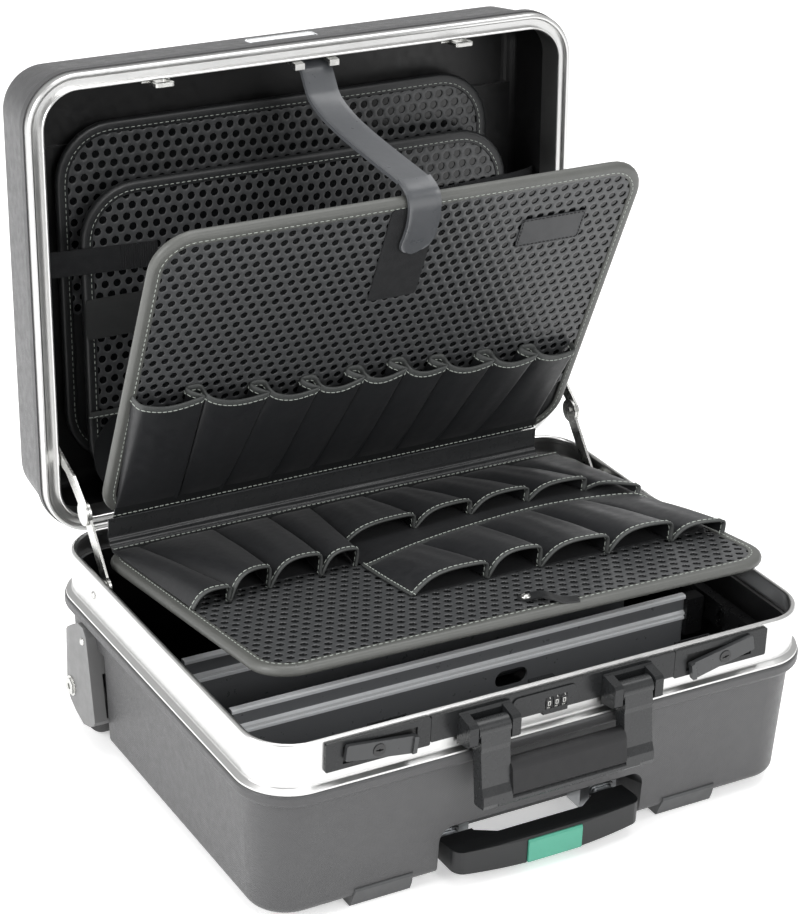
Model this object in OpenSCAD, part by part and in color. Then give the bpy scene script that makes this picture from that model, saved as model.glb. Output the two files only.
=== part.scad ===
// Wheeled hard tool case with a metal-framed lid, tool boards, carry handle and telescopic handle.
// Lid, boards and stays are drawn folded shut and then turned to the open stand, which is the rest pose.

/* [Case] */
// Width of the base frame, left to right
frame_w = 480; // [440:1:520]
// Depth of the base frame, front to hinge
frame_d = 370; // [350:1:400]
// Height of the base rim above the floor
rim_z = 158; // [150:1:170]
// Outer corner radius of the base frame
corner_r = 37; // [30:1:45]
// Height of the shell's underside above the floor
shell_floor_z = 9; // [8:0.1:11]
// Thickness of the moulded shell walls
wall_t = 3; // [2.5:0.1:4]
// How far the base wall draws in from the lip to the bottom
base_draft = 6.6; // [5:0.1:9]

/* [Lid] */
// Height of the lid above its bead
lid_h = 80; // [76:1:86]
// Width of the lid frame's face ring
ring_w = 12; // [9:0.5:14]
// How far the lid bead reaches down outside the base rim
lid_lap = 3; // [2:0.5:4]
// Opening angle of the lid at rest
open_angle = 93.2; // [88:0.1:96]

/* [Boards] */
// Half width of the base board
base_board_half_w = 221.5; // [205:0.5:222]
// Half width of the middle board
middle_board_half_w = 215; // [200:1:218]
// Thickness of a tool board
board_t = 7; // [5:0.5:8]
// Forward travel of the middle board from its stand to flat
middle_board_turn = 68; // [50:1:75]
// Tilt of the base board at rest
base_board_turn = 7.1; // [0:0.1:8]
// Depth of the tool pockets when empty
pocket_depth = 10; // [6:0.5:10]
// Number of pockets along the middle board
middle_pocket_count = 9; // [6:1:10]

/* [Handles and wheels] */
// Radius of the wheels
wheel_r = 43; // [40:0.5:43]
// Width of the wheels
wheel_w = 24; // [18:1:26]
// Centre distance of the two handle arms from the middle
handle_arm_x = 62.5; // [58:0.5:64]
// Forward tilt of the hanging carry handle
handle_tilt = 8; // [2:1:9]
// Centre distance of the telescope tubes from the middle
tube_x = 70; // [66:1:72]

/* [Hidden] */
$fn = 48;

far = 400;
eps = 0.05;
// The origin is under the middle of the whole open case, and the base's own middle lies this far in front
origin_y = 38.1;

half_w = frame_w / 2;
half_d = frame_d / 2;
front_y = -half_d;
metal_t = 2.2;
collar_z = rim_z - 18;
band_bottom_z = rim_z - 34.5;
lip_top_z = rim_z - 39;
lip_bottom_z = rim_z - 49.5;
lip_out = 6;
floor_top_z = shell_floor_z + 3.5;

lid_gap = 5;
lid_w = frame_w + 2 * lid_gap;
lid_d = frame_d + 2 * lid_gap;
lid_r = corner_r + lid_gap;
bead_z = rim_z - lid_lap;
face_z = rim_z + 0.3;
lid_top_z = bead_z + lid_h;
lid_inset = 7;

pivot_y = half_d + 4.3;
pivot_z = rim_z - 4.4;
knuckle_r = 3.9;
pin_r = 1.5;
running = 0.05;
hinge_x = 120;
hinge_len = 76;
knuckle_len = hinge_len / 5;

middle_pivot = [156, 181];
middle_len = 300;
middle_mid_x = -2;
base_pivot = [135, 152];
base_board_len = 298;
base_board_rear = 17.4;
base_board_mid_x = 3.5;
lid_front_z = 193;
lid_back_z = 217.4;

stay_p = [112, 145];
stay_j = [151, 191.8];
stay_u = [117, 168];
stay_x = 228.2;

handle_pivot = [-198, 141];
handle_bottom_z = 79;
wheel_y = 143;
wheel_z = wheel_r;
wheel_mid_x = 222;
plate_out = 247.2;

tube_z = 22.6;
lever_pivot_x = 151.5;
lever_z = 141.5;
lever_tilts = [6.6, 11.2];
dial_pitch = 6.6;
dial_r = 8.6;
dial_y = -181;

function at_lid(p) = [p[0],
    pivot_y + (p[1] - pivot_y) * cos(open_angle) + (p[2] - pivot_z) * sin(open_angle),
    pivot_z - (p[1] - pivot_y) * sin(open_angle) + (p[2] - pivot_z) * cos(open_angle)];

module place() {
    translate([0, -origin_y, 0]) children();
}

// Turns a piece about a line along X through [y, z]
module turn_x(p, a) {
    translate([0, p[0], p[1]]) rotate([a, 0, 0]) translate([0, -p[0], -p[1]]) children();
}

module lid_rest() {
    place() turn_x([pivot_y, pivot_z], -open_angle) children();
}

module middle_rest() {
    place() turn_x(middle_pivot, -middle_board_turn) children();
}

module base_board_rest() {
    place() turn_x(base_pivot, -base_board_turn) children();
}

// Extrudes a [y, z] outline along X between two stations
module along_x(x0, x1) {
    translate([x0, 0, 0]) rotate([90, 0, 90]) linear_extrude(x1 - x0) children();
}

// Extrudes an [x, z] outline along Y between two stations
module along_y(y0, y1) {
    translate([0, y1, 0]) rotate([90, 0, 0]) linear_extrude(y1 - y0) children();
}

module rod_x(x0, x1, y, z, r) {
    translate([x0, y, z]) rotate([0, 90, 0]) cylinder(h = x1 - x0, r = r);
}

module rod_y(y0, y1, x, z, r) {
    translate([x, y1, z]) rotate([90, 0, 0]) cylinder(h = y1 - y0, r = r);
}

module box(a, b) {
    translate(a) cube(b - a);
}

module round_rect(w, h, r) {
    for (x = [-w / 2 + r, w / 2 - r])
        for (y = [-h / 2 + r, h / 2 - r])
            translate([x, y]) circle(r);
    square([w, h - 2 * r], center = true);
    square([w - 2 * r, h], center = true);
}

// Carries a wall section round a rounded rectangle; section x is 0 at the outline and negative inwards
module swept(w, d, r) {
    for (k = [[w, d, 0], [d, w, 90], [w, d, 180], [d, w, 270]])
        rotate([0, 0, k[2]]) {
            translate([k[0] / 2 - r, k[1] / 2 - r, 0])
                rotate_extrude(angle = 90) translate([r, 0]) children();
            translate([k[0] / 2, 0, 0]) along_y(r - k[1] / 2, k[1] / 2 - r) children();
        }
}

// The same sweep with its middle filled between two heights
module swept_solid(w, d, r, z0, z1) {
    swept(w, d, r) children();
    box([r - w / 2, r - d / 2, z0], [w / 2 - r, d / 2 - r, z1]);
}

function arc(c, r, a0, a1, n = 6) = [for (k = [0:n]) c + r * [cos(a0 + (a1 - a0) * k / n), sin(a0 + (a1 - a0) * k / n)]];

module mirrored() {
    children();
    mirror([1, 0, 0]) children();
}

// Base shell

bottom_r = 7;
base_skin = concat(
    [[-corner_r, shell_floor_z]],
    arc([-base_draft - bottom_r + 1, shell_floor_z + bottom_r], bottom_r, 270, 355),
    [[-1, lip_bottom_z - 1.5], [0, lip_bottom_z], [4, lip_bottom_z]],
    arc([lip_out - 3, lip_bottom_z + 3.5], 3, 300, 360, 4),
    arc([lip_out - 3, lip_top_z - 3], 3, 0, 90),
    [[-metal_t - 0.4, lip_top_z], [-metal_t - 0.4, collar_z], [-corner_r, collar_z]]);

base_hollow = concat(
    [[-corner_r, floor_top_z]],
    arc([-base_draft - bottom_r + 1, floor_top_z + bottom_r - wall_t], bottom_r - wall_t, 270, 355),
    [[-2 - wall_t, lip_bottom_z - 2], [-metal_t - 0.4 - wall_t, lip_top_z - 4],
        [-metal_t - 0.4 - wall_t, collar_z + 1], [-corner_r, collar_z + 1]]);

well_x = 206;
well_y = 97;
well_z = 91;
notch_half = 91;
notch_top_z = 50;
notch_back_y = -158;
channel_y1 = 152;
channel_z = tube_z + 9;

module notch_outline(grow) {
    translate([0, (notch_top_z + grow) / 2 - 20])
        round_rect(2 * (notch_half + grow), notch_top_z + grow + 40, 12 + grow);
}

channel_floor_z = 12;
channel_floor_y = -131.5;

// The telescope runs in a channel, open below at the front, where a hand reaches round the grip
module channel(grow) {
    box([-notch_half - grow, -far, -1], [notch_half + grow, channel_floor_y, channel_z + grow]);
    box([-notch_half - grow, channel_floor_y - 1, channel_floor_z],
        [notch_half + grow, channel_y1 + grow, channel_z + grow]);
}

module base_shell() {
    place() color("#6d6d6d")
        difference() {
            swept_solid(frame_w, frame_d, corner_r, shell_floor_z, collar_z) polygon(base_skin);
            difference() {
                swept_solid(frame_w, frame_d, corner_r, floor_top_z, collar_z + 1) polygon(base_hollow);
                mirrored() box([well_x - wall_t, well_y - wall_t, 0], [far, far, well_z + wall_t]);
                along_y(-far, notch_back_y + wall_t) notch_outline(wall_t);
                channel(wall_t);
            }
            mirrored() box([well_x, well_y, -1], [far, far, well_z]);
            along_y(-far, notch_back_y) notch_outline(0);
            channel(0);
            box([-13.5, -far, rim_z - 29], [13.5, -150, far]);
        }
}

// Base frame of extruded metal: round-edged rim, smooth band, flange that sits on the shell's lip

base_metal = concat(
    [[-metal_t, lip_top_z], [4.8, lip_top_z], [4.6, lip_top_z + 1.4]],
    arc([1.6, band_bottom_z], 1.6, 250, 180, 4),
    [[0, rim_z - 1.4]],
    arc([-2, rim_z - 2], 2, 20, 160),
    [[-4, rim_z - 5], [-metal_t, rim_z - 6.5]]);

module dial_gate() {
    along_y(-far, -100) polygon([[-11, rim_z - 27.5], [11, rim_z - 27.5], [11, rim_z - 8.5], [-11, rim_z - 8.5]]);
}

module base_frame() {
    place() color("#dcdcda")
        difference() {
            swept(frame_w, frame_d, corner_r) polygon(base_metal);
            dial_gate();
        }
}

// Feet wrap the lower front edge

module front_feet() {
    place() color("#5f6060")
        mirrored() intersection() {
            along_x(111.5, 162.5) difference() {
                polygon([[-175.4, 1], [-174.4, 0], [-138, 0], [-132, shell_floor_z + 2], [-150, 20],
                    [-176, 20], [-180.6, 17.8], [-180.8, 15.6]]);
                translate([front_y, 0]) mirror([1, 0]) polygon(concat(base_skin, [[-corner_r - 40, collar_z],
                    [-corner_r - 40, shell_floor_z]]));
            }
            translate([0, 0, -1]) linear_extrude(30) polygon([[113.5, -182], [160.5, -182], [162.5, -178],
                [162.5, -130], [111.5, -130], [111.5, -178]]);
        }
}

// Wheels stand in wells at the rear corners, behind side plates

plate_outline = [[97, 32], [99, 28], [107, 23], [120, 19], [135, 23.5], [147, 30], [160, 41], [172, 52],
    [180, 62], [176, 70], [166, 81], [152, 93], [138, 102.5], [128, 108.2], [118.5, 108.2], [112.5, 102], [107, 78]];

module corner_prism(out, r, z0, z1) {
    translate([0, 0, z0]) linear_extrude(z1 - z0)
        round_rect(frame_w + 2 * out, frame_d + 2 * out - 9, r + out);
}

module wheel_housing(s) {
    place() color("#6f6f6e") scale([s, 1, 1])
        difference() {
            intersection() {
                along_x(well_x + 0.2, plate_out) polygon(plate_outline);
                corner_prism(plate_out - half_w, corner_r, 0, 130);
            }
            difference() {
                swept_solid(frame_w, frame_d, corner_r, shell_floor_z, collar_z) polygon(base_skin);
                box([well_x, well_y, -1], [far, far, well_z]);
            }
            rod_x(wheel_mid_x - wheel_w / 2 - 2.5, wheel_mid_x + wheel_w / 2 + 2.5, wheel_y, wheel_z,
                wheel_r + 3.5);
            rod_x(well_x - 1, wheel_mid_x, wheel_y, wheel_z, 4.05);
            rod_x(wheel_mid_x, plate_out + 1, wheel_y, wheel_z, 4.05);
        }
}

module wheel_housing_left() {
    wheel_housing(-1);
}

module wheel_housing_right() {
    wheel_housing(1);
}

module tyre(s) {
    x = s * wheel_mid_x;
    place() color("#2b2b2c") translate([x, wheel_y, wheel_z]) rotate([0, 90, 0])
        rotate_extrude($fn = 96) polygon(concat([[32, -wheel_w / 2 + 2]],
            arc([wheel_r - 4, -wheel_w / 2 + 4], 4, 270, 360, 5), arc([wheel_r - 4, wheel_w / 2 - 4], 4, 0, 90, 5),
            [[32, wheel_w / 2 - 2]]));
}

module tyre_left() {
    tyre(-1);
}

module tyre_right() {
    tyre(1);
}

module wheel_hub(s) {
    x = s * wheel_mid_x;
    place() color("#55575a") translate([x, wheel_y, wheel_z]) rotate([0, 90, 0])
        difference() {
            rotate_extrude($fn = 96) polygon([[4.06, -wheel_w / 2], [11, -wheel_w / 2], [13, -wheel_w / 2 + 4],
                [26, -wheel_w / 2 + 5], [28, -wheel_w / 2 + 2], [32, -wheel_w / 2 + 2], [32, wheel_w / 2 - 2],
                [28, wheel_w / 2 - 2], [26, wheel_w / 2 - 5], [13, wheel_w / 2 - 4], [11, wheel_w / 2],
                [4.06, wheel_w / 2]]);
            for (k = [0:5])
                rotate([0, 0, 60 * k]) translate([19.5, 0, -wheel_w]) cylinder(h = 2 * wheel_w, r = 4.5);
        }
}

module wheel_hub_left() {
    wheel_hub(-1);
}

module wheel_hub_right() {
    wheel_hub(1);
}

module axle_bolts() {
    place() color("#c9cacb") mirrored() difference() {
        union() {
            rod_x(well_x + 0.2, plate_out, wheel_y, wheel_z, 4);
            translate([plate_out, wheel_y, wheel_z]) rotate([0, 90, 0]) cylinder(h = 2.6, r = 7.5, $fn = 6);
            translate([plate_out, wheel_y, wheel_z]) rotate([0, 90, 0]) cylinder(h = 0.8, r = 8.5);
        }
        rod_x(plate_out + 1, plate_out + 4, wheel_y, wheel_z, 2.6);
    }
}

// Round-headed rivets: one on each wheel plate, and those that hold the frame to the shell
module rivet_head(x, y, z) {
    translate([x, y, z]) rotate([0, 90, 0])
        rotate_extrude() polygon([[0, 0], [3.2, 0], [3.1, 0.6], [2.2, 1.4], [0, 1.7]]);
}

module frame_rivets() {
    place() color("#b8b9b9") mirrored() {
        rivet_head(plate_out, 119.5, 95.5);
        rivet_head(half_w, stay_p[0], rim_z - 18.5);
    }
}

// Two five-knuckle hinges on the rear band

module knuckles(own, parts) {
    for (k = parts)
        difference() {
            union() {
                rod_x(k * knuckle_len + 0.15, (k + 1) * knuckle_len - 0.15, pivot_y, pivot_z, knuckle_r);
                if (own == "base")
                    box([k * knuckle_len + 0.15, half_d + eps, pivot_z - 12],
                        [(k + 1) * knuckle_len - 0.15, half_d + 1.6, pivot_z]);
                else
                    box([k * knuckle_len + 0.15, lid_d / 2 + 1.1, pivot_z],
                        [(k + 1) * knuckle_len - 0.15, lid_d / 2 + 2.6, pivot_z + 12]);
            }
            rod_x(k * knuckle_len - 1, (k + 1) * knuckle_len + 1, pivot_y, pivot_z, pin_r + running);
        }
}

module leaf_holes(y0, y1, z) {
    for (x = [10, hinge_len / 2, hinge_len - 10])
        rod_y(y0, y1, x, z, 2.1);
}

module base_hinge_leaves() {
    place() color("#b9babb")
        for (s = [-1, 1])
            translate([s * hinge_x - hinge_len / 2, 0, 0]) {
                knuckles("base", [0, 2, 4]);
                difference() {
                    box([0, half_d + eps, pivot_z - 25], [hinge_len, half_d + 1.6, pivot_z - 5.2]);
                    leaf_holes(half_d - 1, half_d + 3, pivot_z - 16);
                }
            }
}

module lid_hinge_leaves() {
    lid_rest() color("#b9babb")
        for (s = [-1, 1])
            translate([s * hinge_x - hinge_len / 2, 0, 0]) {
                knuckles("lid", [1, 3]);
                difference() {
                    box([0, lid_d / 2 + 1.1, pivot_z + 5.2], [hinge_len, lid_d / 2 + 2.6, pivot_z + 24]);
                    leaf_holes(lid_d / 2, lid_d / 2 + 4, pivot_z + 13.5);
                }
            }
}

module hinge_pins() {
    place() color("#9fa1a3")
        for (s = [-1, 1])
            rod_x(s * hinge_x - hinge_len / 2, s * hinge_x + hinge_len / 2, pivot_y, pivot_z, pin_r);
}

// Front hardware: latch plates with a recess, levers, lock rail and combination lock

rail_front_y = front_y - 2.5;
plate_z0 = rim_z - 27;
plate_z1 = rim_z - 3.4;

module latch_plate(s) {
    place() color("#4a4b4d") scale([s, 1, 1])
        difference() {
            union() {
                along_y(rail_front_y, front_y - eps) translate([150, (plate_z0 + plate_z1) / 2])
                    round_rect(86, plate_z1 - plate_z0, 1.5);
                box([118, front_y + metal_t, rim_z - 17.6], [150, front_y + 15, rim_z - 6.6]);
            }
            along_y(-far, rail_front_y + 1.8) polygon([[118, plate_z0 + 4], [179, plate_z0 + 4],
                [179, plate_z1 - 5.1], [118, plate_z1 - 5.1]]);
            rod_y(-far, front_y + 1, lever_pivot_x, lever_z, 3.05);
            box([120, front_y + 5, rim_z - 16.2], [148, front_y + 13.5, rim_z]);
        }
}

module latch_plate_left() {
    latch_plate(-1);
}

module latch_plate_right() {
    latch_plate(1);
}

module latch_lever(s) {
    place() color("#515254") scale([s, 1, 1])
        translate([lever_pivot_x, 0, lever_z]) rotate([0, -lever_tilts[(s + 1) / 2], 0])
            difference() {
                union() {
                    along_y(rail_front_y - 3.8, rail_front_y - 0.3) polygon([[-31.5, -6.6], [-30.7, -7.4],
                        [26, -5.8], [27, -4.8], [27, 5.8], [26, 6.8], [-30.7, 7.2], [-31.5, 6.4]]);
                    along_y(rail_front_y - 5.4, rail_front_y - 3.7) polygon([[-31.5, -6.6], [-28, -7.3],
                        [-28, 7.1], [-31.5, 6.4]]);
                    rod_y(rail_front_y - 0.4, front_y - 0.1, 0, 0, 3);
                }
                rod_y(rail_front_y - 8, rail_front_y - 1.4, 0, 0, 5.05);
            }
}

module latch_lever_left() {
    latch_lever(-1);
}

module latch_lever_right() {
    latch_lever(1);
}

module lock_cylinder(s) {
    place() color("#3a3b3c") scale([s, 1, 1])
        translate([lever_pivot_x, 0, lever_z]) rotate([0, -lever_tilts[(s + 1) / 2], 0])
            difference() {
                rod_y(rail_front_y - 4.4, rail_front_y - 1.5, 0, 0, 5);
                box([-3, -far, -0.5], [3, rail_front_y - 2.8, 0.5]);
                rod_y(-far, rail_front_y - 2.8, 0, 0, 1);
            }
}

module lock_cylinder_left() {
    lock_cylinder(-1);
}

module lock_cylinder_right() {
    lock_cylinder(1);
}

module lock_rail() {
    place() color("#454648")
        difference() {
            along_y(rail_front_y, front_y - eps) translate([0, rim_z - 14.2])
                round_rect(2 * 106.6, 21.6, 1);
            dial_gate();
        }
}

lock_x = -10;

module combination_housing() {
    place() color("#4d4e50")
        difference() {
            union() {
                along_y(rail_front_y - 1.1, rail_front_y - eps) translate([lock_x, rim_z - 15.2])
                    round_rect(56, 17, 5);
                box([-10.8, rail_front_y - 0.5, rim_z - 27.3], [10.8, front_y + 20, rim_z - 8.7]);
            }
            for (k = [-1, 0, 1])
                rod_x(k * dial_pitch - 2.9, k * dial_pitch + 2.9, dial_y, rim_z - 17.5, dial_r + 0.5);
            rod_x(-10, 10, dial_y, rim_z - 17.5, 1.55);
        }
}

module dial(k) {
    place() color("#26272a")
        difference() {
            rod_x(k * dial_pitch - 2.5, k * dial_pitch + 2.5, dial_y, rim_z - 17.5, dial_r);
            for (a = [0:36:324])
                translate([k * dial_pitch, dial_y, rim_z - 17.5]) rotate([a + 18, 0, 0])
                    translate([-4, -dial_r - 0.45, 0]) rotate([0, 90, 0]) cylinder(h = 8, r = 0.9);
            rod_x(-far, far, dial_y, rim_z - 17.5, 1.6);
        }
}

module dial_axle() {
    place() color("#9fa1a3") rod_x(-10, 10, dial_y, rim_z - 17.5, 1.55);
}

module dial_1() {
    dial(-1);
}

module dial_2() {
    dial(0);
}

module dial_3() {
    dial(1);
}

// Carry handle: two arms and a lower bar, a soft grip between them, a clevis bracket for each arm

bracket_in = 41;
bracket_out = 84.5;

module handle_bracket(s) {
    place() color("#3f4042") scale([s, 1, 1])
        difference() {
            union() {
                along_x(bracket_in, bracket_out) polygon([[rail_front_y - eps, 126], [rail_front_y - 2.6, 128],
                    [rail_front_y - 2.6, 150], [rail_front_y - 1, 152.4], [rail_front_y - eps, 152.4]]);
                for (x = [bracket_in, bracket_out - 7.4])
                    along_x(x, x + 7.4) polygon([[rail_front_y - 2.5, 128], [-203.5, 130.5], [-205.4, 132.5],
                        [-205.4, 147], [-203.4, 149], [rail_front_y - 2.5, 151.5]]);
            }
            rod_x(bracket_in + 2.5, bracket_out - 2.5, handle_pivot[0], handle_pivot[1], 2.6);
        }
}

module handle_bracket_left() {
    handle_bracket(-1);
}

module handle_bracket_right() {
    handle_bracket(1);
}

module handle_pins() {
    place() color("#9fa1a3") mirrored()
        rod_x(bracket_in + 2.6, bracket_out - 2.6, handle_pivot[0], handle_pivot[1], 2.5);
}

arm_half = 12.5;
arm_front_y = -205;
arm_back_y = -192.2;

module carry_handle() {
    place() turn_x(handle_pivot, -handle_tilt) color("#58595b") {
        mirrored() difference() {
            union() {
                rod_x(handle_arm_x - arm_half - 1, handle_arm_x + arm_half + 1, handle_pivot[0],
                    handle_pivot[1], 7.4);
                along_x(handle_arm_x - arm_half, handle_arm_x + arm_half) polygon([[-205.2, handle_pivot[1]],
                    [-205, 128], [-204, 124], [-204, 96], [-206, 89], [-206, 82], [-204.5, handle_bottom_z],
                    [arm_back_y - 1, handle_bottom_z], [arm_back_y, handle_bottom_z + 2], [arm_back_y, 120],
                    [-192.6, 133], [-196, handle_pivot[1]]]);
            }
            rod_x(0, far, handle_pivot[0], handle_pivot[1], 2.5 + running);
        }
        along_x(-handle_arm_x, handle_arm_x) polygon([[-204.5, handle_bottom_z], [-206, handle_bottom_z + 1.5],
            [-206, 83], [-204, 85], [arm_back_y, 85], [arm_back_y, handle_bottom_z + 2],
            [arm_back_y - 1, handle_bottom_z]]);
    }
}

module handle_grip() {
    x = handle_arm_x - arm_half;
    place() turn_x(handle_pivot, -handle_tilt) color("#67686a") along_x(-x, x)
        polygon(concat([[arm_back_y, 85], [-205, 85], [-206.8, 87]],
            arc([-199.4, 105], 7.4, 180, 60, 8), [[arm_back_y, 110]]));
}

// Telescopic handle: fixed sleeves along the floor, two drawn stages, a bowed grip and its button

sleeve_y0 = -156.5;
sleeve_y1 = 149;

module tube(w, h, t, y0, y1) {
    for (s = [-1, 1])
        along_y(y0, y1) difference() {
            translate([s * tube_x, tube_z]) round_rect(w, h, 3);
            translate([s * tube_x, tube_z]) round_rect(w - 2 * t, h - 2 * t, 3 - t / 2);
        }
}

module telescope_sleeves() {
    place() color("#a9abad") {
        mirrored() difference() {
            union() {
                along_y(sleeve_y0, sleeve_y1) translate([tube_x, tube_z]) round_rect(24, 18, 3);
                box([50.5, sleeve_y0, 13.2], [84, sleeve_y0 + 18, tube_z + 8.6]);
            }
            along_y(sleeve_y0 - 1, sleeve_y1 + 1) translate([tube_x, tube_z]) round_rect(21.2, 15.2, 2.3);
        }
        for (s = [-1, 1])
            box([s * tube_x - 11, sleeve_y1 - 2, tube_z - 8], [s * tube_x + 11, channel_y1, tube_z + 8]);
    }
}

module telescope_mid_tubes() {
    place() color("#c4c6c8") tube(20.4, 14.4, 1.4, sleeve_y0 - 0.5, sleeve_y1 - 6);
}

module telescope_inner_tubes() {
    place() color("#d2d3d4") tube(16.8, 10.8, 1.4, grip_back_y, sleeve_y1 - 14);
}

grip_front_y = -196.8;
grip_back_y = -165;
grip_z0 = 9;
grip_z1 = 32;
grip_bow = 847;
button_x0 = -22;
button_x1 = 26;

// The bar's front bows forward and its underside bows down in the middle
function grip_front(x) = grip_front_y + grip_bow - sqrt(grip_bow * grip_bow - x * x);

grip_plan = concat([[-83, grip_back_y]], arc([-74, grip_front(74) + 9], 9, 180, 270),
    [for (x = [-66:12:66]) [x, grip_front(x)]], arc([74, grip_front(74) + 9], 9, 270, 360),
    [[83, grip_back_y], [53, grip_back_y], [53, -168], [38, -178.5], [-38, -178.5], [-53, -168], [-53, grip_back_y]]);

module telescope_grip() {
    place() color("#3b3c3e")
        difference() {
            intersection() {
                linear_extrude(60) polygon(grip_plan);
                along_x(-90, 90) polygon([[grip_front_y, grip_z0], [grip_front_y, grip_z1 - 2.5],
                    [grip_front_y + 1.6, grip_z1 - 0.6], [grip_front_y + 4, grip_z1], [-181, grip_z1],
                    [grip_back_y, grip_z1 - 1.5], [grip_back_y, grip_z0]]);
                translate([0, 0, grip_z0 + 766]) rotate([90, 0, 0]) cylinder(h = 2 * far, r = 766, center = true, $fn = 360);
            }
            box([button_x0 - 0.4, -far, -1], [button_x1 + 0.4, -180.2, grip_z1 - 2.2]);
        }
}

module release_button() {
    place() color("#6fbba3")
        along_x(button_x0, button_x1) polygon([[-198, grip_z0 + 1], [-198, grip_z1 - 4.4],
            [-197, grip_z1 - 2.6], [-183.4, grip_z1 - 2.6], [-183.4, grip_z0 + 1]]);
}

// Interior: two metal dividers hung in slotted side rails

divider_half = 206;
divider_top_z = 120;
rail_half = 224.5;
divider_front_y = -62;
divider_rear_y = 20;
notch_pitch = (divider_rear_y - divider_front_y) / 3;

module divider(y) {
    along_x(-divider_half, divider_half) translate([y, 0]) polygon([[-1.2, 37.4], [-1.2, 96.5], [-3.4, 98],
        [-3.4, 100], [-2.2, 101], [-3.4, 102], [-3.4, 104], [-1.2, 105.5], [-1.2, 115.5], [-3, 116.5],
        [-3.2, 119], [-2.2, divider_top_z], [2.2, divider_top_z], [3, 119], [3, 116.5], [1, 115.5],
        [1, 35.4], [-8, 35.4], [-8, 37.4]]);
}

module divider_front() {
    place() color("#8d8f90")
        difference() {
            divider(divider_front_y);
            along_y(-80, -50) translate([42, 84]) round_rect(30, 15, 7.4);
        }
}

module divider_rear() {
    place() color("#8d8f90")
        difference() {
            divider(divider_rear_y);
            along_y(0, 40) translate([42, 84]) round_rect(30, 15, 7.4);
        }
}

module divider_brackets() {
    place() color("#2a2b2c") mirrored()
        for (y = [divider_front_y, divider_rear_y]) {
            box([divider_half, y - 6, 84], [rail_half - 2.4, y + 6, 117]);
            box([rail_half - 2.5, y - 3.2, 98], [rail_half + 2.4, y + 3.2, 112]);
        }
}

module divider_rails() {
    place() color("#303132") mirrored()
        difference() {
            along_y(-150, 118) polygon([[rail_half, 97], [234.4, 97], [234.7, 99], [234.3, 118], [rail_half, 118]]);
            for (k = [-3:6])
                translate([rail_half - 1, divider_front_y + k * notch_pitch, 0]) {
                    box([0, -3.6, 97.4], [4, 3.6, 112.4]);
                    rod_x(0, 4, 0, 105, 6);
                }
        }
}

// Lid stays: a lower arm pivoted on the base and an upper arm pivoted on the lid

module stay_arm(a, b, x, ra, rb) {
    len = norm(b - a);
    ang = atan2(b[1] - a[1], b[0] - a[0]);
    translate([x, a[0], a[1]]) rotate([ang, 0, 0]) difference() {
        union() {
            rod_x(-1, 1, 0, 0, ra);
            rod_x(-1, 1, len, 0, rb);
            box([-1, 0, -6], [1, len, 6]);
        }
        rod_x(-2, 2, 0, 0, 3 + running);
    }
}

module stay_lower(s) {
    place() color("#c8c9c6") scale([s, 1, 1]) {
        stay_arm(stay_p, stay_j, stay_x, 8, 10);
        rod_x(stay_x - 2.4, stay_x - 0.9, stay_j[0], stay_j[1], 3.4);
    }
}

module stay_lower_left() {
    stay_lower(-1);
}

module stay_lower_right() {
    stay_lower(1);
}

module stay_upper(s) {
    j = stay_j;
    u = at_lid([0, stay_u[0], stay_u[1]]);
    place() color("#c8c9c6") scale([s, 1, 1]) difference() {
        union() {
            rod_x(stay_x + 1.4, stay_x + 3.4, u[1], u[2], 7);
            rod_x(stay_x + 1.4, stay_x + 3.4, j[0], j[1], 10);
            along_x(stay_x + 1.4, stay_x + 3.4) polygon([[144.5, 199.4], [167.8, 217.6], [182.5, 222.4],
                [203, 230.4], [211, 219.4], [196, 216.4], [183.5, 214.4], [158, 196.2], [151, 190]]);
        }
        rod_x(stay_x, stay_x + 5, u[1], u[2], 3 + running);
    }
}

module stay_upper_left() {
    stay_upper(-1);
}

module stay_upper_right() {
    stay_upper(1);
}

module stay_rivets() {
    place() color("#a7a8a9") mirrored() {
        rod_x(stay_x - 1.3, half_w - metal_t, stay_p[0], stay_p[1], 3);
        rod_x(stay_x + 1.2, half_w - metal_t, stay_p[0], stay_p[1], 5);
        rod_x(stay_x - 2.2, stay_x - 1.2, stay_p[0], stay_p[1], 4.5);
    }
}

module lid_stay_rivets() {
    lid_rest() color("#a7a8a9") mirrored() {
        rod_x(stay_x + 1.1, lid_w / 2 - ring_w, stay_u[0], stay_u[1], 3);
        rod_x(stay_x + 3.6, lid_w / 2 - ring_w, stay_u[0], stay_u[1], 5);
        rod_x(stay_x + 0.5, stay_x + 1.2, stay_u[0], stay_u[1], 4.5);
    }
}

// Lid, drawn shut

lid_skin = concat(
    [[-lid_r, lid_top_z]],
    arc([-lid_inset - 14, lid_top_z - 14], 14, 90, 10),
    [[-1.5, face_z + 14.2], [0.6, face_z + 13.2], [1, face_z + 12], [1, face_z + 5.4], [-2, face_z + 5.4],
        [-2, face_z + 2.4], [-lid_r, face_z + 2.4]]);

lid_hollow = concat(
    [[-lid_r, lid_top_z - wall_t]],
    arc([-lid_inset - 14, lid_top_z - 14], 14 - wall_t, 90, 10),
    [[-1.5 - wall_t, face_z + 14], [-6, face_z + 10], [-6, face_z + 1], [-lid_r, face_z + 1]]);

panel_y0 = -110;
panel_y1 = 100;
panel_sink = 3;

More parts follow.
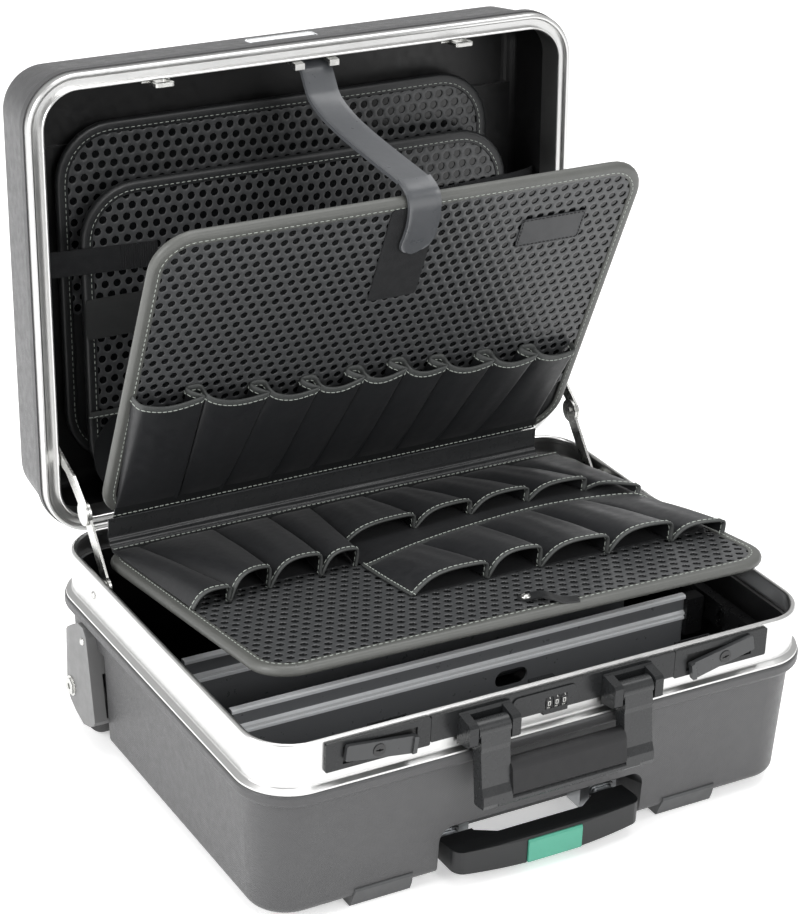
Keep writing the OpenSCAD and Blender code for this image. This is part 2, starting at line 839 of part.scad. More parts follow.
module lid_shell() {
    lid_rest() color("#6a6a6a")
        difference() {
            swept_solid(lid_w, lid_d, lid_r, face_z + 2.4, lid_top_z) polygon(lid_skin);
            difference() {
                swept_solid(lid_w, lid_d, lid_r, face_z + 1, lid_top_z - wall_t) polygon(lid_hollow);
                box([-far, panel_y0 - wall_t, lid_top_z - wall_t - panel_sink], [far, panel_y1 + wall_t, far]);
            }
            box([-far, panel_y0, lid_top_z - panel_sink], [far, panel_y1, far]);
        }
    lid_rest() color("#6a6a6a")
        for (x = [-140, 0, 140])
            box([x - 2, -90, lid_back_z + 2.5], [x + 2, 90, lid_top_z - wall_t - panel_sink + eps]);
}

lid_metal = [[-ring_w - 0.8, face_z - 4], [-ring_w - 0.2, face_z - 4.7], [-ring_w + 0.6, face_z - 4.7],
    [-ring_w + 1.2, face_z - 4], [-ring_w + 1.2, face_z], [-4.6, face_z], [-4.6, bead_z + 1.3], [-3.6, bead_z + 0.2], [-2.3, bead_z],
    [-1, bead_z + 0.2], [0, bead_z + 1.3], [0, face_z + 5.2], [-2, face_z + 5.2], [-2, face_z + 2.2],
    [-ring_w + 1.8, face_z + 2.2], [-ring_w + 1.8, face_z + 21.7], [-ring_w, face_z + 21.7],
    [-ring_w, face_z + 2.2], [-ring_w - 0.8, face_z + 1.4]];

module lid_frame() {
    lid_rest() color("#e0e0de")
        difference() {
            swept(lid_w, lid_d, lid_r) polygon(lid_metal);
            for (s = [-1, 1])
                box([s * hinge_x - hinge_len / 2 - 2, half_d - 1, 0],
                    [s * hinge_x + hinge_len / 2 + 2, far, face_z - eps]);
        }
}

catch_y = -174.9;

module lid_catches() {
    lid_rest() color("#b4b5b5") {
        for (s = [-1, 1])
            difference() {
                union() {
                    along_y(catch_y - 1.4, catch_y + 1.4) translate([s * 134.4, face_z - 4.8]) round_rect(16.4, 20, 3);
                    box([s * 134.4 - 12, ring_w - lid_d / 2, face_z + 4], [s * 134.4 + 12, catch_y + 1.4, face_z + 12]);
                }
                along_y(catch_y - 2, catch_y + 2) translate([s * 134.4, face_z - 6]) round_rect(10.6, 12, 1.5);
            }
        for (x = [-15.5, 15.5])
            along_x(x - 4.2, x + 4.2) polygon([[ring_w - lid_d / 2, face_z + 8], [ring_w - lid_d / 2, face_z + 2.4],
                [catch_y - 2.1, face_z + 1.4], [catch_y - 2.1, face_z - 5], [catch_y - 1.2, face_z - 10.5], [catch_y + 3.6, face_z - 10.5], [catch_y + 3.6, face_z - 7.5],
                [catch_y + 1, face_z - 7.9], [catch_y + 1, face_z + 8]]);
    }
}

// Boards. A board is a flat panel with round corners and a round padded binding

module board(w, len, r, z, y1, t) {
    bind_r = t / 2;
    translate([0, y1 - len / 2, z]) {
        translate([0, 0, -t / 2 + 1]) linear_extrude(t - 2) round_rect(w - t, len - t, r - bind_r);
        swept(w, len, r) translate([-bind_r, 0]) circle(bind_r, $fn = 24);
    }
}

module lid_back_board() {
    lid_rest() color("#2f3031") board(400, 290, 48, lid_back_z, 158, 5);
}

lid_board_mid_x = 7;

module lid_front_board() {
    lid_rest() color("#38393a") {
        translate([lid_board_mid_x, 0, 0]) {
            board(396, 262, 48, lid_front_z, 174, 6);
            box([-183, 86, lid_front_z - 5.4], [183, 168, lid_front_z - 1.9]);
            box([-187, -8, lid_front_z - 4.4], [187, 28, lid_front_z - 1.9]);
        }
    }
}

module board_strap_outline() {
    polygon([[150, lid_front_z - 5.2], [237.7, lid_front_z - 5.2], [236.1, lid_front_z + 4],
        [234.2, lid_front_z + 4], [235.3, lid_front_z - 3.2], [150, lid_front_z - 3.2]]);
}

module lid_board_straps() {
    lid_rest() color("#202122") {
        mirror([1, 0, 0]) along_y(-34, -9) board_strap_outline();
        along_y(-74, -49) board_strap_outline();
    }
}

module middle_board() {
    middle_rest() color("#38393a")
        translate([middle_mid_x, 0, 0])
            board(2 * middle_board_half_w, middle_len, 34, middle_pivot[1], middle_pivot[0] - 0.6, board_t);
}

// A row of tool pockets. Each one bulges between two sewn lines, and their mouths step from y0 to y0 + slope
module pocket_row(x0, x1, n, y0, y1, z, depth, slope = 0) {
    w = (x1 - x0) / n;
    sag = depth - 1.5;
    r = (w * w / 4 + sag * sag) / (2 * sag);
    for (k = [0:n - 1])
        translate([x0 + (k + 0.5) * w, y1, z]) rotate([90, 0, 0])
            linear_extrude(y1 - y0 - slope * k / (n - 1)) intersection() {
                translate([0, depth - r]) circle(r, $fn = 96);
                translate([-w / 2 - 0.05, 0]) square([w + 0.1, depth]);
            }
}

module middle_board_pockets() {
    middle_rest() color("#303132")
        translate([0, 0, middle_pivot[1] - board_t / 2 + 1]) mirror([0, 0, 1])
            pocket_row(-207, 201, middle_pocket_count, middle_pivot[0] - 135, middle_pivot[0] - 24, 0,
                pocket_depth - 0.5, 36);
}

module base_board() {
    base_board_rest() color("#38393a")
        translate([base_board_mid_x, 0, 0])
            board(2 * base_board_half_w, base_board_len, 32, base_pivot[1], base_pivot[0] + base_board_rear, board_t);
}

module base_board_pockets() {
    z = base_pivot[1] + board_t / 2 - 1;
    base_board_rest() color("#303132") {
        pocket_row(-200, -44, 3, 8, 138, z, pocket_depth, -6);
        pocket_row(-30, 202, 4, 54, 138, z, pocket_depth);
        pocket_row(-26, 190, 5, -34, 44, z, pocket_depth);
    }
}

// The flexible spine between the boards, and the bar behind it that carries them
module board_spine() {
    place() color("#222324") along_x(-200, 200)
        polygon(concat([[154.6, 146.6], [158, 146.7]], arc([156, 158.9], 11.7, 290, 360, 8), [[166.6, 173.5], [164.2, 173.5]],
            arc([156, 158.9], 9.4, 360, 290, 8), [[158, 149], [154.6, 149]]));
}

module board_carrier() {
    place() color("#8d8f90") {
        along_x(-190, 190) polygon([[168, 142], [168, 176], [170.2, 176], [170.2, 144], [177, 144],
            [177, 142]]);
        for (s = [-1, 1])
            box([s * 160 - 12, 177, 141.8], [s * 160 + 12, half_d - metal_t, 144.2]);
    }
}

// The leather holding strap sags from the lid to the middle board, and its end is laid over that board's top
strap_x0 = -12.5;
strap_x1 = 17.5;
strap_t = 3;
strap_line = [[230.4, 518.8], [226, 515.2], [213.5, 511.8], [206, 502], [198, 490], [176, 481.5], [149, 476.5], [118, 473],
    [92, 471], [64, 469.4], [47, 468.4]];

// The point of the line's other face at station k, one strap thickness away
function strap_back(k) =
    let (a = strap_line[max(k - 1, 0)], b = strap_line[min(k + 1, len(strap_line) - 1)], d = (b - a) / norm(b - a))
        strap_line[k] + strap_t * [-d[1], d[0]];

module holding_strap() {
    place() color("#4b4c50") along_x(strap_x0, strap_x1)
        polygon(concat(strap_line, [for (k = [len(strap_line) - 1:-1:0]) strap_back(k)]));
}

module strap_end() {
    y1 = middle_pivot[0] - 0.6 - middle_len;
    z0 = middle_pivot[1] - board_t / 2;
    middle_rest() color("#4b4c50") along_x(strap_x0, strap_x1)
        polygon([[y1 + 53, z0 - 0.2], [y1 - 0.2, z0 - 0.2], [y1 - 0.2, z0 + board_t - 2], [y1 - 2.6, z0 + board_t - 2],
            [y1 - 2.6, z0 - 1.6], [y1 - 1.4, z0 - 2.8], [y1 + 53, z0 - 2.8]]);
}

base_shell();
base_frame();
front_feet();
wheel_housing_left();
wheel_housing_right();
tyre_left();
tyre_right();
wheel_hub_left();
wheel_hub_right();
axle_bolts();
frame_rivets();
base_hinge_leaves();
lid_hinge_leaves();
hinge_pins();
latch_plate_left();
latch_plate_right();
latch_lever_left();
latch_lever_right();
lock_cylinder_left();
lock_cylinder_right();
lock_rail();
combination_housing();
dial_1();
dial_2();
dial_3();
dial_axle();
handle_bracket_left();
handle_bracket_right();
handle_pins();
carry_handle();
handle_grip();
telescope_sleeves();
telescope_mid_tubes();
telescope_inner_tubes();
telescope_grip();
release_button();
divider_front();
divider_rear();
divider_brackets();
divider_rails();
stay_lower_left();
stay_lower_right();
stay_upper_left();
stay_upper_right();
stay_rivets();
lid_stay_rivets();
lid_shell();
lid_frame();
lid_catches();
lid_back_board();
lid_front_board();
lid_board_straps();
middle_board();
middle_board_pockets();
base_board();
base_board_pockets();
board_spine();
board_carrier();
holding_strap();
strap_end();
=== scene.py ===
import math

import bpy
import numpy as np
from mathutils import Matrix, Vector


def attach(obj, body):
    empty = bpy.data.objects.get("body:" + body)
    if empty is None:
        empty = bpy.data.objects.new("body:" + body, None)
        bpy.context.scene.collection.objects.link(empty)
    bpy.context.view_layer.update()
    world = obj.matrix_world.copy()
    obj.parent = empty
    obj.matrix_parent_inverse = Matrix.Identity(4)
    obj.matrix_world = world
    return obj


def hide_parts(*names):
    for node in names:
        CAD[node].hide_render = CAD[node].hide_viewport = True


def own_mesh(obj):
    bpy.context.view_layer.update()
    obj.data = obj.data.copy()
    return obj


# A hard tool case, standing open. The shells, rims, locks, stays, wheels and pull bar are the frame's own meshes with
# real finishes. The tool boards with their perforated sheets, bound edges, pockets and stitches, the straps, the
# flexible spine, the dial digits and the bare plate are surfaces worked out here.

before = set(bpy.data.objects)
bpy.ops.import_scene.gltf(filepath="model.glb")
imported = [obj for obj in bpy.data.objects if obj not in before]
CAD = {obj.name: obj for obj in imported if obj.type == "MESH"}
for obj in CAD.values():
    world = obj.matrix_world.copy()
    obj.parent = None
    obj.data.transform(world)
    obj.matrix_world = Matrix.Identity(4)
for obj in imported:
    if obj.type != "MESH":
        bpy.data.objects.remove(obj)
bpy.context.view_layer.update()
rng = np.random.default_rng(11)

# ---------------------------------------------------------------- places
# Case coordinates are in millimetres: x to the right, y back from the middle of the base, z up.
BASE_MIDDLE = 38.1                   # the frame's origin lies this far behind the middle of the base
RIM_Z = 158.0                        # top of the base's metal rim
HINGE = np.array([189.3, 153.6])     # the lid's hinge axis, in y and z
LID_SLOPE, MIDDLE_SLOPE, BASE_SLOPE = 93.2, 68, 7.1     # how far each board is turned up from lying flat, in degrees


def mm(x, y, z):
    """A point in case millimetres, in the frame's metres."""
    x, y, z = np.broadcast_arrays(np.asarray(x, float), np.asarray(y, float), np.asarray(z, float))
    return np.stack([x, y - BASE_MIDDLE, z], -1) * 0.001


def turned_open(y, z):
    """A point given with the lid shut, turned about the hinge by the angle that the lid stands open."""
    c, s = math.cos(math.radians(LID_SLOPE)), math.sin(math.radians(LID_SLOPE))
    dy, dz = y - HINGE[0], z - HINGE[1]
    return HINGE[0] + dy * c + dz * s, HINGE[1] - dy * s + dz * c


class Board:
    """A flat tool board's own millimetres: x across, d along it away from its hinge side, h out of its visible face.
    In y and z a point is hinge_side + d * along + h * outward, after an optional warp of (x, d, h)."""

    def __init__(self, core, hinge_side, slope, side, warp=None):
        """slope is in degrees, and side, 1 or -1, tells which of the two faces is the visible one."""
        a = math.radians(slope)
        self.core, self.hinge_side, self.warp = core, hinge_side, warp
        self.along = (-math.cos(a), math.sin(a))
        self.outward = (side * math.sin(a), side * math.cos(a))

    def __call__(self, x, d, h):
        """The board's own millimetres, in the frame's metres."""
        x, d, h = (np.asarray(v, float) for v in (x, d, h))
        if self.warp:
            x, d, h = self.warp(x, d, h)
        y, z = (self.hinge_side[k] + d * self.along[k] + h * self.outward[k] for k in (0, 1))
        return mm(x, y, z)

    def normal(self):
        """The direction that the visible face looks in."""
        return np.array([0, *self.outward])


def hanging(x, d, h):
    """The base board hangs a little out of square: in step with d it moves right, and its right side further out."""
    share = np.clip(d / 280, -0.1, 1)
    x = x + 5 * share
    return x, d + share * x * 0.036, h


LID_BACK = Board("back_board_core", turned_open(0, 217.4), LID_SLOPE, -1)
LID_FRONT = Board("front_board_core", turned_open(0, 193.0), LID_SLOPE, -1)
MIDDLE = Board("middle_board_core", (156, 181), MIDDLE_SLOPE, -1)
BASE = Board("base_board_core", (135, 152), BASE_SLOPE, 1, hanging)

# ---------------------------------------------------------------- finishes
MOTTLE = 28.0        # waves per metre of the slow colour change, about 36 mm each
SHEEN = 140.0        # waves per metre of the change in roughness, about 7 mm each
HALF_WAVE, WHOLE_WAVE = 3.14, 6.283      # in radians
# How a pattern also paints shade into its own low places: the share mixed in, then the ramp as (position, tone) twice
SHADED = {"weave": (0.35, (0.0, 0.55), (0.6, 1.0)), "check": (0.35, (0.0, 0.55), (0.6, 1.0)),
          "leather": (0.35, (0.0, 0.55), (0.6, 1.0)), "brushed": (0.5, (0.35, 0.72), (0.65, 1.0))}


def rgb(h):
    """An sRGB hex colour as linear RGBA."""
    v = [int(h[i:i + 2], 16) / 255 for i in (1, 3, 5)]
    return tuple([c / 12.92 if c <= 0.04045 else ((c + 0.055) / 1.055) ** 2.4 for c in v] + [1.0])


def toned(colour, by):
    """A linear colour times a factor, kept within white."""
    return tuple([min(1.0, v * by) for v in colour[:3]] + [1.0])


def node(tree, kind, settings=None, stops=(), **inputs):
    """Adds a shader node with its settings and links. stops are a colour ramp's (position, colour). Inputs are values
    or the outputs that feed them: i2 is the third socket, and other names spell a socket with _ for a space."""
    n = tree.nodes.new("ShaderNode" + kind)
    for k, v in (settings or {}).items():
        setattr(n, k, v)
    if stops:
        for e, (position, colour) in zip(n.color_ramp.elements, stops):
            e.position, e.color = position, colour
    for k, v in inputs.items():
        sock = n.inputs[int(k[1:])] if k[0] == "i" and k[1:].isdigit() else n.inputs[k.replace("_", " ")]
        if isinstance(v, bpy.types.NodeSocket):
            tree.links.new(v, sock)
        else:
            sock.default_value = v
    return n


def crossed(t, u, v, rate):
    """sin(rate * u) * sin(rate * v), brought from -1..1 to 0..1: rows of small squares."""
    waves = []
    for along in (u, v):
        turned = node(t, "Math", {"operation": "MULTIPLY"}, i0=along, i1=rate)
        waves.append(node(t, "Math", {"operation": "SINE"}, i0=turned.outputs[0]).outputs[0])
    p = node(t, "Math", {"operation": "MULTIPLY"}, i0=waves[0], i1=waves[1])
    return node(t, "MapRange", Value=p.outputs[0], i1=-1.0, i2=1.0).outputs[0]


def weave(t, place, per_m):
    """Two crossing sets of threads: waves along x, times waves along z less y. A thread is half a wave."""
    xyz = node(t, "SeparateXYZ", Vector=place)
    up = node(t, "Math", {"operation": "SUBTRACT"}, i0=xyz.outputs[2], i1=xyz.outputs[1])
    return crossed(t, xyz.outputs[0], up.outputs[0], per_m * HALF_WAVE)


def check(t, place, per_m):
    """The moulded shell's small raised squares. A wall that faces sideways takes y for x, and a level one y for z."""
    faces = node(t, "SeparateXYZ", Vector=node(t, "NewGeometry").outputs["True Normal"])
    xyz = node(t, "SeparateXYZ", Vector=place)
    picked = []
    for axis in (0, 2):
        size = node(t, "Math", {"operation": "ABSOLUTE"}, i0=faces.outputs[axis])
        square_on = node(t, "Math", {"operation": "GREATER_THAN"}, i0=size.outputs[0], i1=0.7)
        picked.append(node(t, "Mix", {"data_type": "FLOAT"}, i0=square_on.outputs[0], i2=xyz.outputs[axis],
                           i3=xyz.outputs[1]).outputs[0])
    return crossed(t, *picked, per_m * WHOLE_WAVE)


def pattern(t, place, kind, per_m):
    """A height from 0 to 1 over the surface, with per_m cells in a metre."""
    if kind == "check":
        return check(t, place, per_m)
    if kind == "weave":
        return weave(t, place, per_m)
    if kind == "leather":      # pebbles: the distance to the nearest cell edge, cut off flat at 0.28
        cells = node(t, "TexVoronoi", {"feature": "DISTANCE_TO_EDGE"}, Vector=place, Scale=per_m)
        return node(t, "Math", {"operation": "MINIMUM"}, i0=cells.outputs["Distance"], i1=0.28).outputs[0]
    if kind == "brushed":      # noise drawn out along x and y
        place = node(t, "Mapping", Vector=place, Scale=(3.0, 3.0, per_m)).outputs[0]
        return node(t, "TexNoise", Vector=place, Scale=1.0, Detail=4.0, Roughness=0.7).outputs["Fac"]
    detail, roughness = (6.0, 0.8) if kind == "pile" else (3.0, 0.65)
    return node(t, "TexNoise", Vector=place, Scale=per_m, Detail=detail, Roughness=roughness).outputs["Fac"]


def material(name, base, rough, metal=0.0, spread=0.06, grain=None, rough_spread=0.06, bevel=0.0, **sockets):
    """A finish whose colour varies by spread and whose roughness varies by rough_spread, with a bump of grain
    (pattern, size in mm, height in mm), and edges that shade as if rounded by bevel in mm."""
    m = bpy.data.materials.new(name)
    m.use_nodes = True
    t = m.node_tree
    bsdf = next(n for n in t.nodes if n.type == "BSDF_PRINCIPLED")
    place = node(t, "TexCoord").outputs["Object"]
    low, high = toned(rgb(base), 1 - spread), toned(rgb(base), 1 + spread)
    mottle = node(t, "TexNoise", Vector=place, Scale=MOTTLE, Detail=4.0, Roughness=0.6)
    colour = node(t, "ValToRGB", stops=((0.3, low), (0.7, high)), Fac=mottle.outputs["Fac"]).outputs["Color"]
    normal = None
    if bevel:
        normal = node(t, "Bevel", {"samples": 4}, Radius=bevel * 0.001).outputs["Normal"]
    if grain:
        kind, size, height = grain
        f = pattern(t, place, kind, 1000.0 / size)
        bump = node(t, "Bump", Strength=1.0, Distance=height * 0.001, Height=f)
        if normal is not None:
            t.links.new(normal, bump.inputs["Normal"])
        normal = bump.outputs["Normal"]
        # the pile's colour follows its height: its low places darker, as painted shade
        if kind == "pile":
            colour = node(t, "ValToRGB", stops=((0.35, toned(rgb(base), 0.55)), (0.62, high)), Fac=f).outputs["Color"]
        if kind in SHADED:
            share, *tones = SHADED[kind]
            shade = node(t, "ValToRGB", stops=[(at, (v, v, v, 1.0)) for at, v in tones], Fac=f).outputs["Color"]
            colour = node(t, "Mix", {"data_type": "RGBA", "blend_type": "MULTIPLY"}, i0=share, i6=colour,
                          i7=shade).outputs[2]
    t.links.new(colour, bsdf.inputs["Base Color"])
    sheen = node(t, "TexNoise", Vector=place, Scale=SHEEN, Detail=3.0)
    varied = node(t, "MapRange", Value=sheen.outputs["Fac"], i1=0.3, i2=0.7, i3=max(0.02, rough - rough_spread),
                  i4=rough + rough_spread)
    t.links.new(varied.outputs[0], bsdf.inputs["Roughness"])
    bsdf.inputs["Metallic"].default_value = metal
    for k, v in sockets.items():
        bsdf.inputs[k.replace("_", " ")].default_value = v
    if normal is not None:
        t.links.new(normal, bsdf.inputs["Normal"])
    return m


FINISH = {
    # moulded ABS with a raised check: even dark grey whose sheen the texture breaks up. The real check is about
    # 0.8 mm, finer than the render shows, and is drawn twice as coarse
    "shell": material("moulded_shell_plastic", "#434344", 0.38, grain=("check", 1.6, 0.16), spread=0.03, bevel=0.5),
    # the shell's smooth inside: near black, with a weak gloss on the deep walls
    "inside": material("black_inner_plastic", "#0b0b0c", 0.42, grain=("noise", 1.2, 0.02)),
    # bent and satin-anodised aluminium: the rims mirror the white studio softly and read as the brightest part
    "alu": material("satin_aluminium", "#cfcfce", 0.3, metal=1.0, spread=0.008, rough_spread=0.02),
    # extruded aluminium, only partly a mirror; its pale grey is partly painted reflection, to stay mid grey in shade
    "divider": material("divider_aluminium_painted_reflection", "#85878a", 0.3, metal=0.35, spread=0.02, rough_spread=0.03),
    # the dividers' beads and rolled edges, pale as painted highlight; the bare plate in the same pale finish
    "bead": material("bead_painted_highlight_and_plate", "#f4f6f8", 0.25, metal=0.1, spread=0.01, rough_spread=0.02),
    # zinc-plated pressed steel: bright and slightly cloudy, with rounded edges
    "steel": material("zinc_plated_steel", "#c9c9c6", 0.28, metal=1.0, spread=0.05, grain=("noise", 0.7, 0.01),
                      bevel=0.3),
    # dark lacquer over steel: near black, with small tight highlights
    "lacquer": material("dark_lacquered_metal", "#1f2021", 0.28, metal=0.1, grain=("noise", 0.5, 0.001), spread=0.03,
                        rough_spread=0.03, Specular_IOR_Level=0.35),
    # the same lacquer on the levers, painted a little paler as if lit from above
    "lever": material("lever_lacquer_painted_light", "#343536", 0.3, metal=0.1, grain=("noise", 0.5, 0.001), bevel=0.3,
                      rough_spread=0.03),
    # the pressed steel floor of the latch, painted black as the shade it lies in: a black gap round the lever
    "recess": material("latch_recess_painted_shade", "#060606", 0.55, grain=("noise", 1.0, 0.01)),
    # glossy moulded nylon: the handle's arms are dark with a bright line along each edge
    "arm": material("glossy_handle_plastic", "#232425", 0.27, grain=("noise", 0.9, 0.001), spread=0.03, bevel=0.6,
                    rough_spread=0.03),
    # soft rubber moulded over the grip: dull, so its round shape shows as one broad gradient
    "grip": material("soft_grip_rubber", "#232324", 0.5, grain=("noise", 0.5, 0.01), bevel=0.5, spread=0.04,
                     Specular_IOR_Level=0.25),
    # moulded polypropylene: the feet are a touch darker and duller than the shell
    "foot": material("foot_plastic", "#3b3c3d", 0.42, grain=("noise", 0.7, 0.01), bevel=0.5),
    # moulded nylon, paler than the shell: the wheel housings and hubs stand out from the corners
    "wheelbox": material("housing_plastic", "#6a6a6a", 0.45, grain=("noise", 0.7, 0.02), bevel=0.6),
    # moulded nylon with a fine spark-eroded surface: the pull bar is black with a soft shine on its rounding
    "handle_bar": material("pull_bar_plastic", "#1b1c1d", 0.34, grain=("noise", 0.6, 0.006), bevel=0.8,
                           Specular_IOR_Level=0.4),
    # coloured ABS: the one spot of colour, a clear green
    "button": material("button_plastic_green", "#489780", 0.36, grain=("noise", 0.8, 0.004), bevel=0.8),
    # solid rubber: black and dull
    "tyre": material("tyre_rubber", "#1c1c1d", 0.7, grain=("noise", 0.6, 0.05)),
    # moulded acetal: lock parts and dials, black with a tight shine
    "black": material("lock_black_plastic", "#19191a", 0.3, grain=("noise", 0.5, 0.01), bevel=0.2),
    # drawn and anodised aluminium tube: smooth, with long soft reflections
    "tube": material("anodised_tube", "#b9bbbd", 0.34, metal=1.0, spread=0.02, rough_spread=0.03),
    # punched polyethylene sheet: grey, with a wide satin glare on the side that looks at a lamp
    "sheet": material("perforated_sheet_plastic", "#404142", 0.34, spread=0.03, grain=("noise", 2.2, 0.008),
                      rough_spread=0.03),
    # the black film under the sheet: glossy, so some holes show a glint
    "hole": material("dark_board_core", "#08090a", 0.22, grain=("noise", 2.0, 0.005), rough_spread=0.03),
    # embossed vinyl leathercloth: the bound edges are warm grey with a fine pebble
    "bind": material("bound_edge_leatherette", "#575855", 0.42, grain=("leather", 1.1, 0.02), spread=0.05),
    # the same in black, on the two boards in the lid
    "bind_dark": material("bound_edge_black_leatherette", "#252627", 0.42, grain=("leather", 1.1, 0.03), spread=0.06),
    # the same in black with a deeper emboss, on the board cores, their bands and the stud's tab
    "cover": material("board_cover_leatherette", "#1c1d1e", 0.46, grain=("leather", 1.3, 0.04)),
    # coated polyester cloth: black with a low sheen along the folds. Its threads of 0.4 mm are drawn at 0.75 mm
    "cloth": material("pocket_cloth", "#191a1c", 0.48, grain=("weave", 0.75, 0.02), spread=0.06, Sheen_Weight=0.06,
                      Sheen_Roughness=0.4),
    # woven binding tape: a paler line round each pocket mouth. Its threads are drawn as coarse as the cloth's
    "hem": material("bound_mouth_tape", "#3d3f3e", 0.55, grain=("weave", 0.8, 0.04), spread=0.06),
    # spun polyester thread: pale grey-green dashes, dull
    "thread": material("pale_thread", "#a2a8a1", 0.6, grain=("noise", 0.4, 0.03)),
    # the same thread in black, on leather and on the patch
    "dark_thread": material("dark_thread", "#0e0f10", 0.5, grain=("noise", 0.4, 0.03)),
    # dressed leather with a thin clear finish: grey with a long soft highlight where it bends
    "leather": material("strap_leather", "#4b4d50", 0.33, grain=("leather", 1.0, 0.012), spread=0.05, Coat_Weight=0.2,
                        Coat_Roughness=0.3),
    # soft glossy vinyl: the spine's creases show as long thin lights
    "spine": material("spine_leatherette", "#343536", 0.3, grain=("leather", 1.2, 0.006), spread=0.08,
                      Coat_Weight=0.25, Coat_Roughness=0.25),
    # looped nylon pile: black, mottled by painted shade in its low places, with no shine
    "pile": material("hook_and_loop_pile", "#17181a", 0.95, grain=("pile", 1.1, 0.4)),
    # woven elastic: black with fine lengthwise ribs
    "web": material("elastic_webbing", "#2a2b2b", 0.6, grain=("brushed", 0.9, 0.08)),
    # smooth vinyl: a flat dark field
    "patch": material("bare_label_patch", "#2a2b2d", 0.4, grain=("noise", 0.9, 0.01)),
    # filled paint: off-white and flat
    "digits": material("dial_digits_white", "#d8d8d4", 0.5, grain=("noise", 0.6, 0.005)),
}

# ---------------------------------------------------------------- mesh helpers


def piece(name, verts, faces, mats, body, slot, replaces=(), index=None, flat=40):
    """A mesh object from arrays. flat is the angle in degrees above which an edge stays sharp, and index picks each
    face's finish."""
    me = bpy.data.meshes.new(name)
    me.from_pydata(np.asarray(verts, float).reshape(-1, 3).tolist(), [], [list(map(int, f)) for f in faces])
    for m in (mats if isinstance(mats, list) else [mats]):
        me.materials.append(m)
    me.polygons.foreach_set("use_smooth", [True] * len(me.polygons))
    if index is not None:
        me.polygons.foreach_set("material_index", np.asarray(index, np.int32))
    me.update()
    me.set_sharp_from_angle(angle=math.radians(flat))
    ob = bpy.data.objects.new(name, me)
    bpy.context.scene.collection.objects.link(ob)
    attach(ob, body)
    if replaces:
        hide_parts(*replaces)
    return ob


def quads(nv, nu, wrap_u=False, wrap_v=False, start=0):
    """Quads over a grid of nv rows of nu points: each point with the next ones along its row and its column."""
    v = np.arange(nv if wrap_v else nv - 1)
    u = np.arange(nu if wrap_u else nu - 1)
    vv, uu = np.meshgrid(v, u, indexing="ij")
    v2, u2 = (vv + 1) % nv, (uu + 1) % nu
    return (start + np.stack([vv * nu + uu, vv * nu + u2, v2 * nu + u2, v2 * nu + uu], -1)).reshape(-1, 4)


def unit(V):
    """Vectors divided by their lengths."""
    return V / np.maximum(np.linalg.norm(V, axis=-1, keepdims=True), 1e-12)


def grid_normals(P):
    """The cross product of a grid's direction along its rows and that along its columns."""
    return unit(np.cross(np.gradient(P, axis=1), np.gradient(P, axis=0)))


def facing(P, normal):
    """The grid, mirrored in its order if its faces look away from a direction."""
    return P if np.dot(grid_normals(P).reshape(-1, 3).mean(0), normal) >= 0 else P[:, ::-1]


def thick(P, t):
    """A closed sheet: the grid P[row, column] as its outer face, the grid less t mm of its normals, and a side wall."""
    nv, nu = P.shape[:2]
    n = nv * nu
    verts = np.concatenate([P.reshape(-1, 3), (P - grid_normals(P) * (t * 0.001)).reshape(-1, 3)])
    rim = np.concatenate([np.arange(nu), nu - 1 + nu * np.arange(1, nv), n - 2 - np.arange(nu - 1),
                          nu * np.arange(nv - 2, 0, -1)])
    after = np.roll(rim, -1)
    side = np.stack([after, rim, rim + n, after + n], -1)
    return verts, np.concatenate([quads(nv, nu), quads(nv, nu, start=n)[:, ::-1], side])


def merged(parts):
    """Joins (verts, faces) pairs into one."""
    verts, faces, k = [], [], 0
    for v, f in parts:
        verts.append(np.asarray(v).reshape(-1, 3))
        faces += [[k + i for i in q] for q in f]
        k += len(verts[-1])
    return np.concatenate(verts), faces


def closed_rings(P):
    """Faces of rings P[ring, point] with both end rings capped."""
    n, m = P.shape[:2]
    return quads(n, m, wrap_u=True).tolist() + [list(range(m))[::-1], list(range(m * (n - 1), m * n))]


def rounded(x0, x1, d0, d1, r0, r1, n=9, step=14):
    """A rounded rectangle's points and outward directions, counter-clockwise. A corner is its centre + radius * (cos,
    sin), r0 being the radius at the d0 end, and longer edges are split evenly into parts of about step."""
    corners = np.array([(x1 - r0, d0 + r0, r0, -90), (x1 - r1, d1 - r1, r1, 0), (x0 + r1, d1 - r1, r1, 90),
                        (x0 + r0, d0 + r0, r0, 180)], float)
    a = np.radians(corners[:, 3:] + np.linspace(0, 90, n))
    out = np.stack([np.cos(a), np.sin(a)], -1)
    p, o = (corners[:, None, :2] + corners[:, None, 2:3] * out).reshape(-1, 2), out.reshape(-1, 2)
    dp, do = np.roll(p, -1, axis=0) - p, np.roll(o, -1, axis=0) - o
    count = np.maximum(1, (np.linalg.norm(dp, axis=1) / step).astype(int))
    i = np.repeat(np.arange(len(p)), count)
    share = ((np.arange(len(i)) - (np.cumsum(count) - count)[i]) / count[i])[:, None]
    return p[i] + dp[i] * share, unit(o[i] + do[i] * share)


def carried(board, outline, profile):
    """A profile of (outward, height) points carried round an outline on a board: outline + outward * direction."""
    p, o = outline
    profile = np.array(profile)
    x, d = (p[:, None, k] + o[:, None, k] * profile[None, :, 0] for k in (0, 1))
    return board(x, d, np.broadcast_to(profile[None, :, 1], x.shape))


def slab(board, outline, inset, h0, h1):
    """A flat closed plate inside an outline, from height h0 to h1."""
    p, o = outline
    q = p + o * -inset
    n = len(q)
    verts = np.concatenate([board(q[:, 0], q[:, 1], np.full(n, h)) for h in (h1, h0)])
    i = np.arange(n)
    side = np.stack([i, (i + 1) % n, (i + 1) % n + n, i + n], -1)[:, ::-1]
    return verts, [i.tolist(), (i[::-1] + n).tolist()] + side.tolist()


def travelled(P):
    """The distance run along a polyline at each of its points."""
    return np.concatenate([[0], np.cumsum(np.linalg.norm(np.diff(P, axis=0), axis=1))])


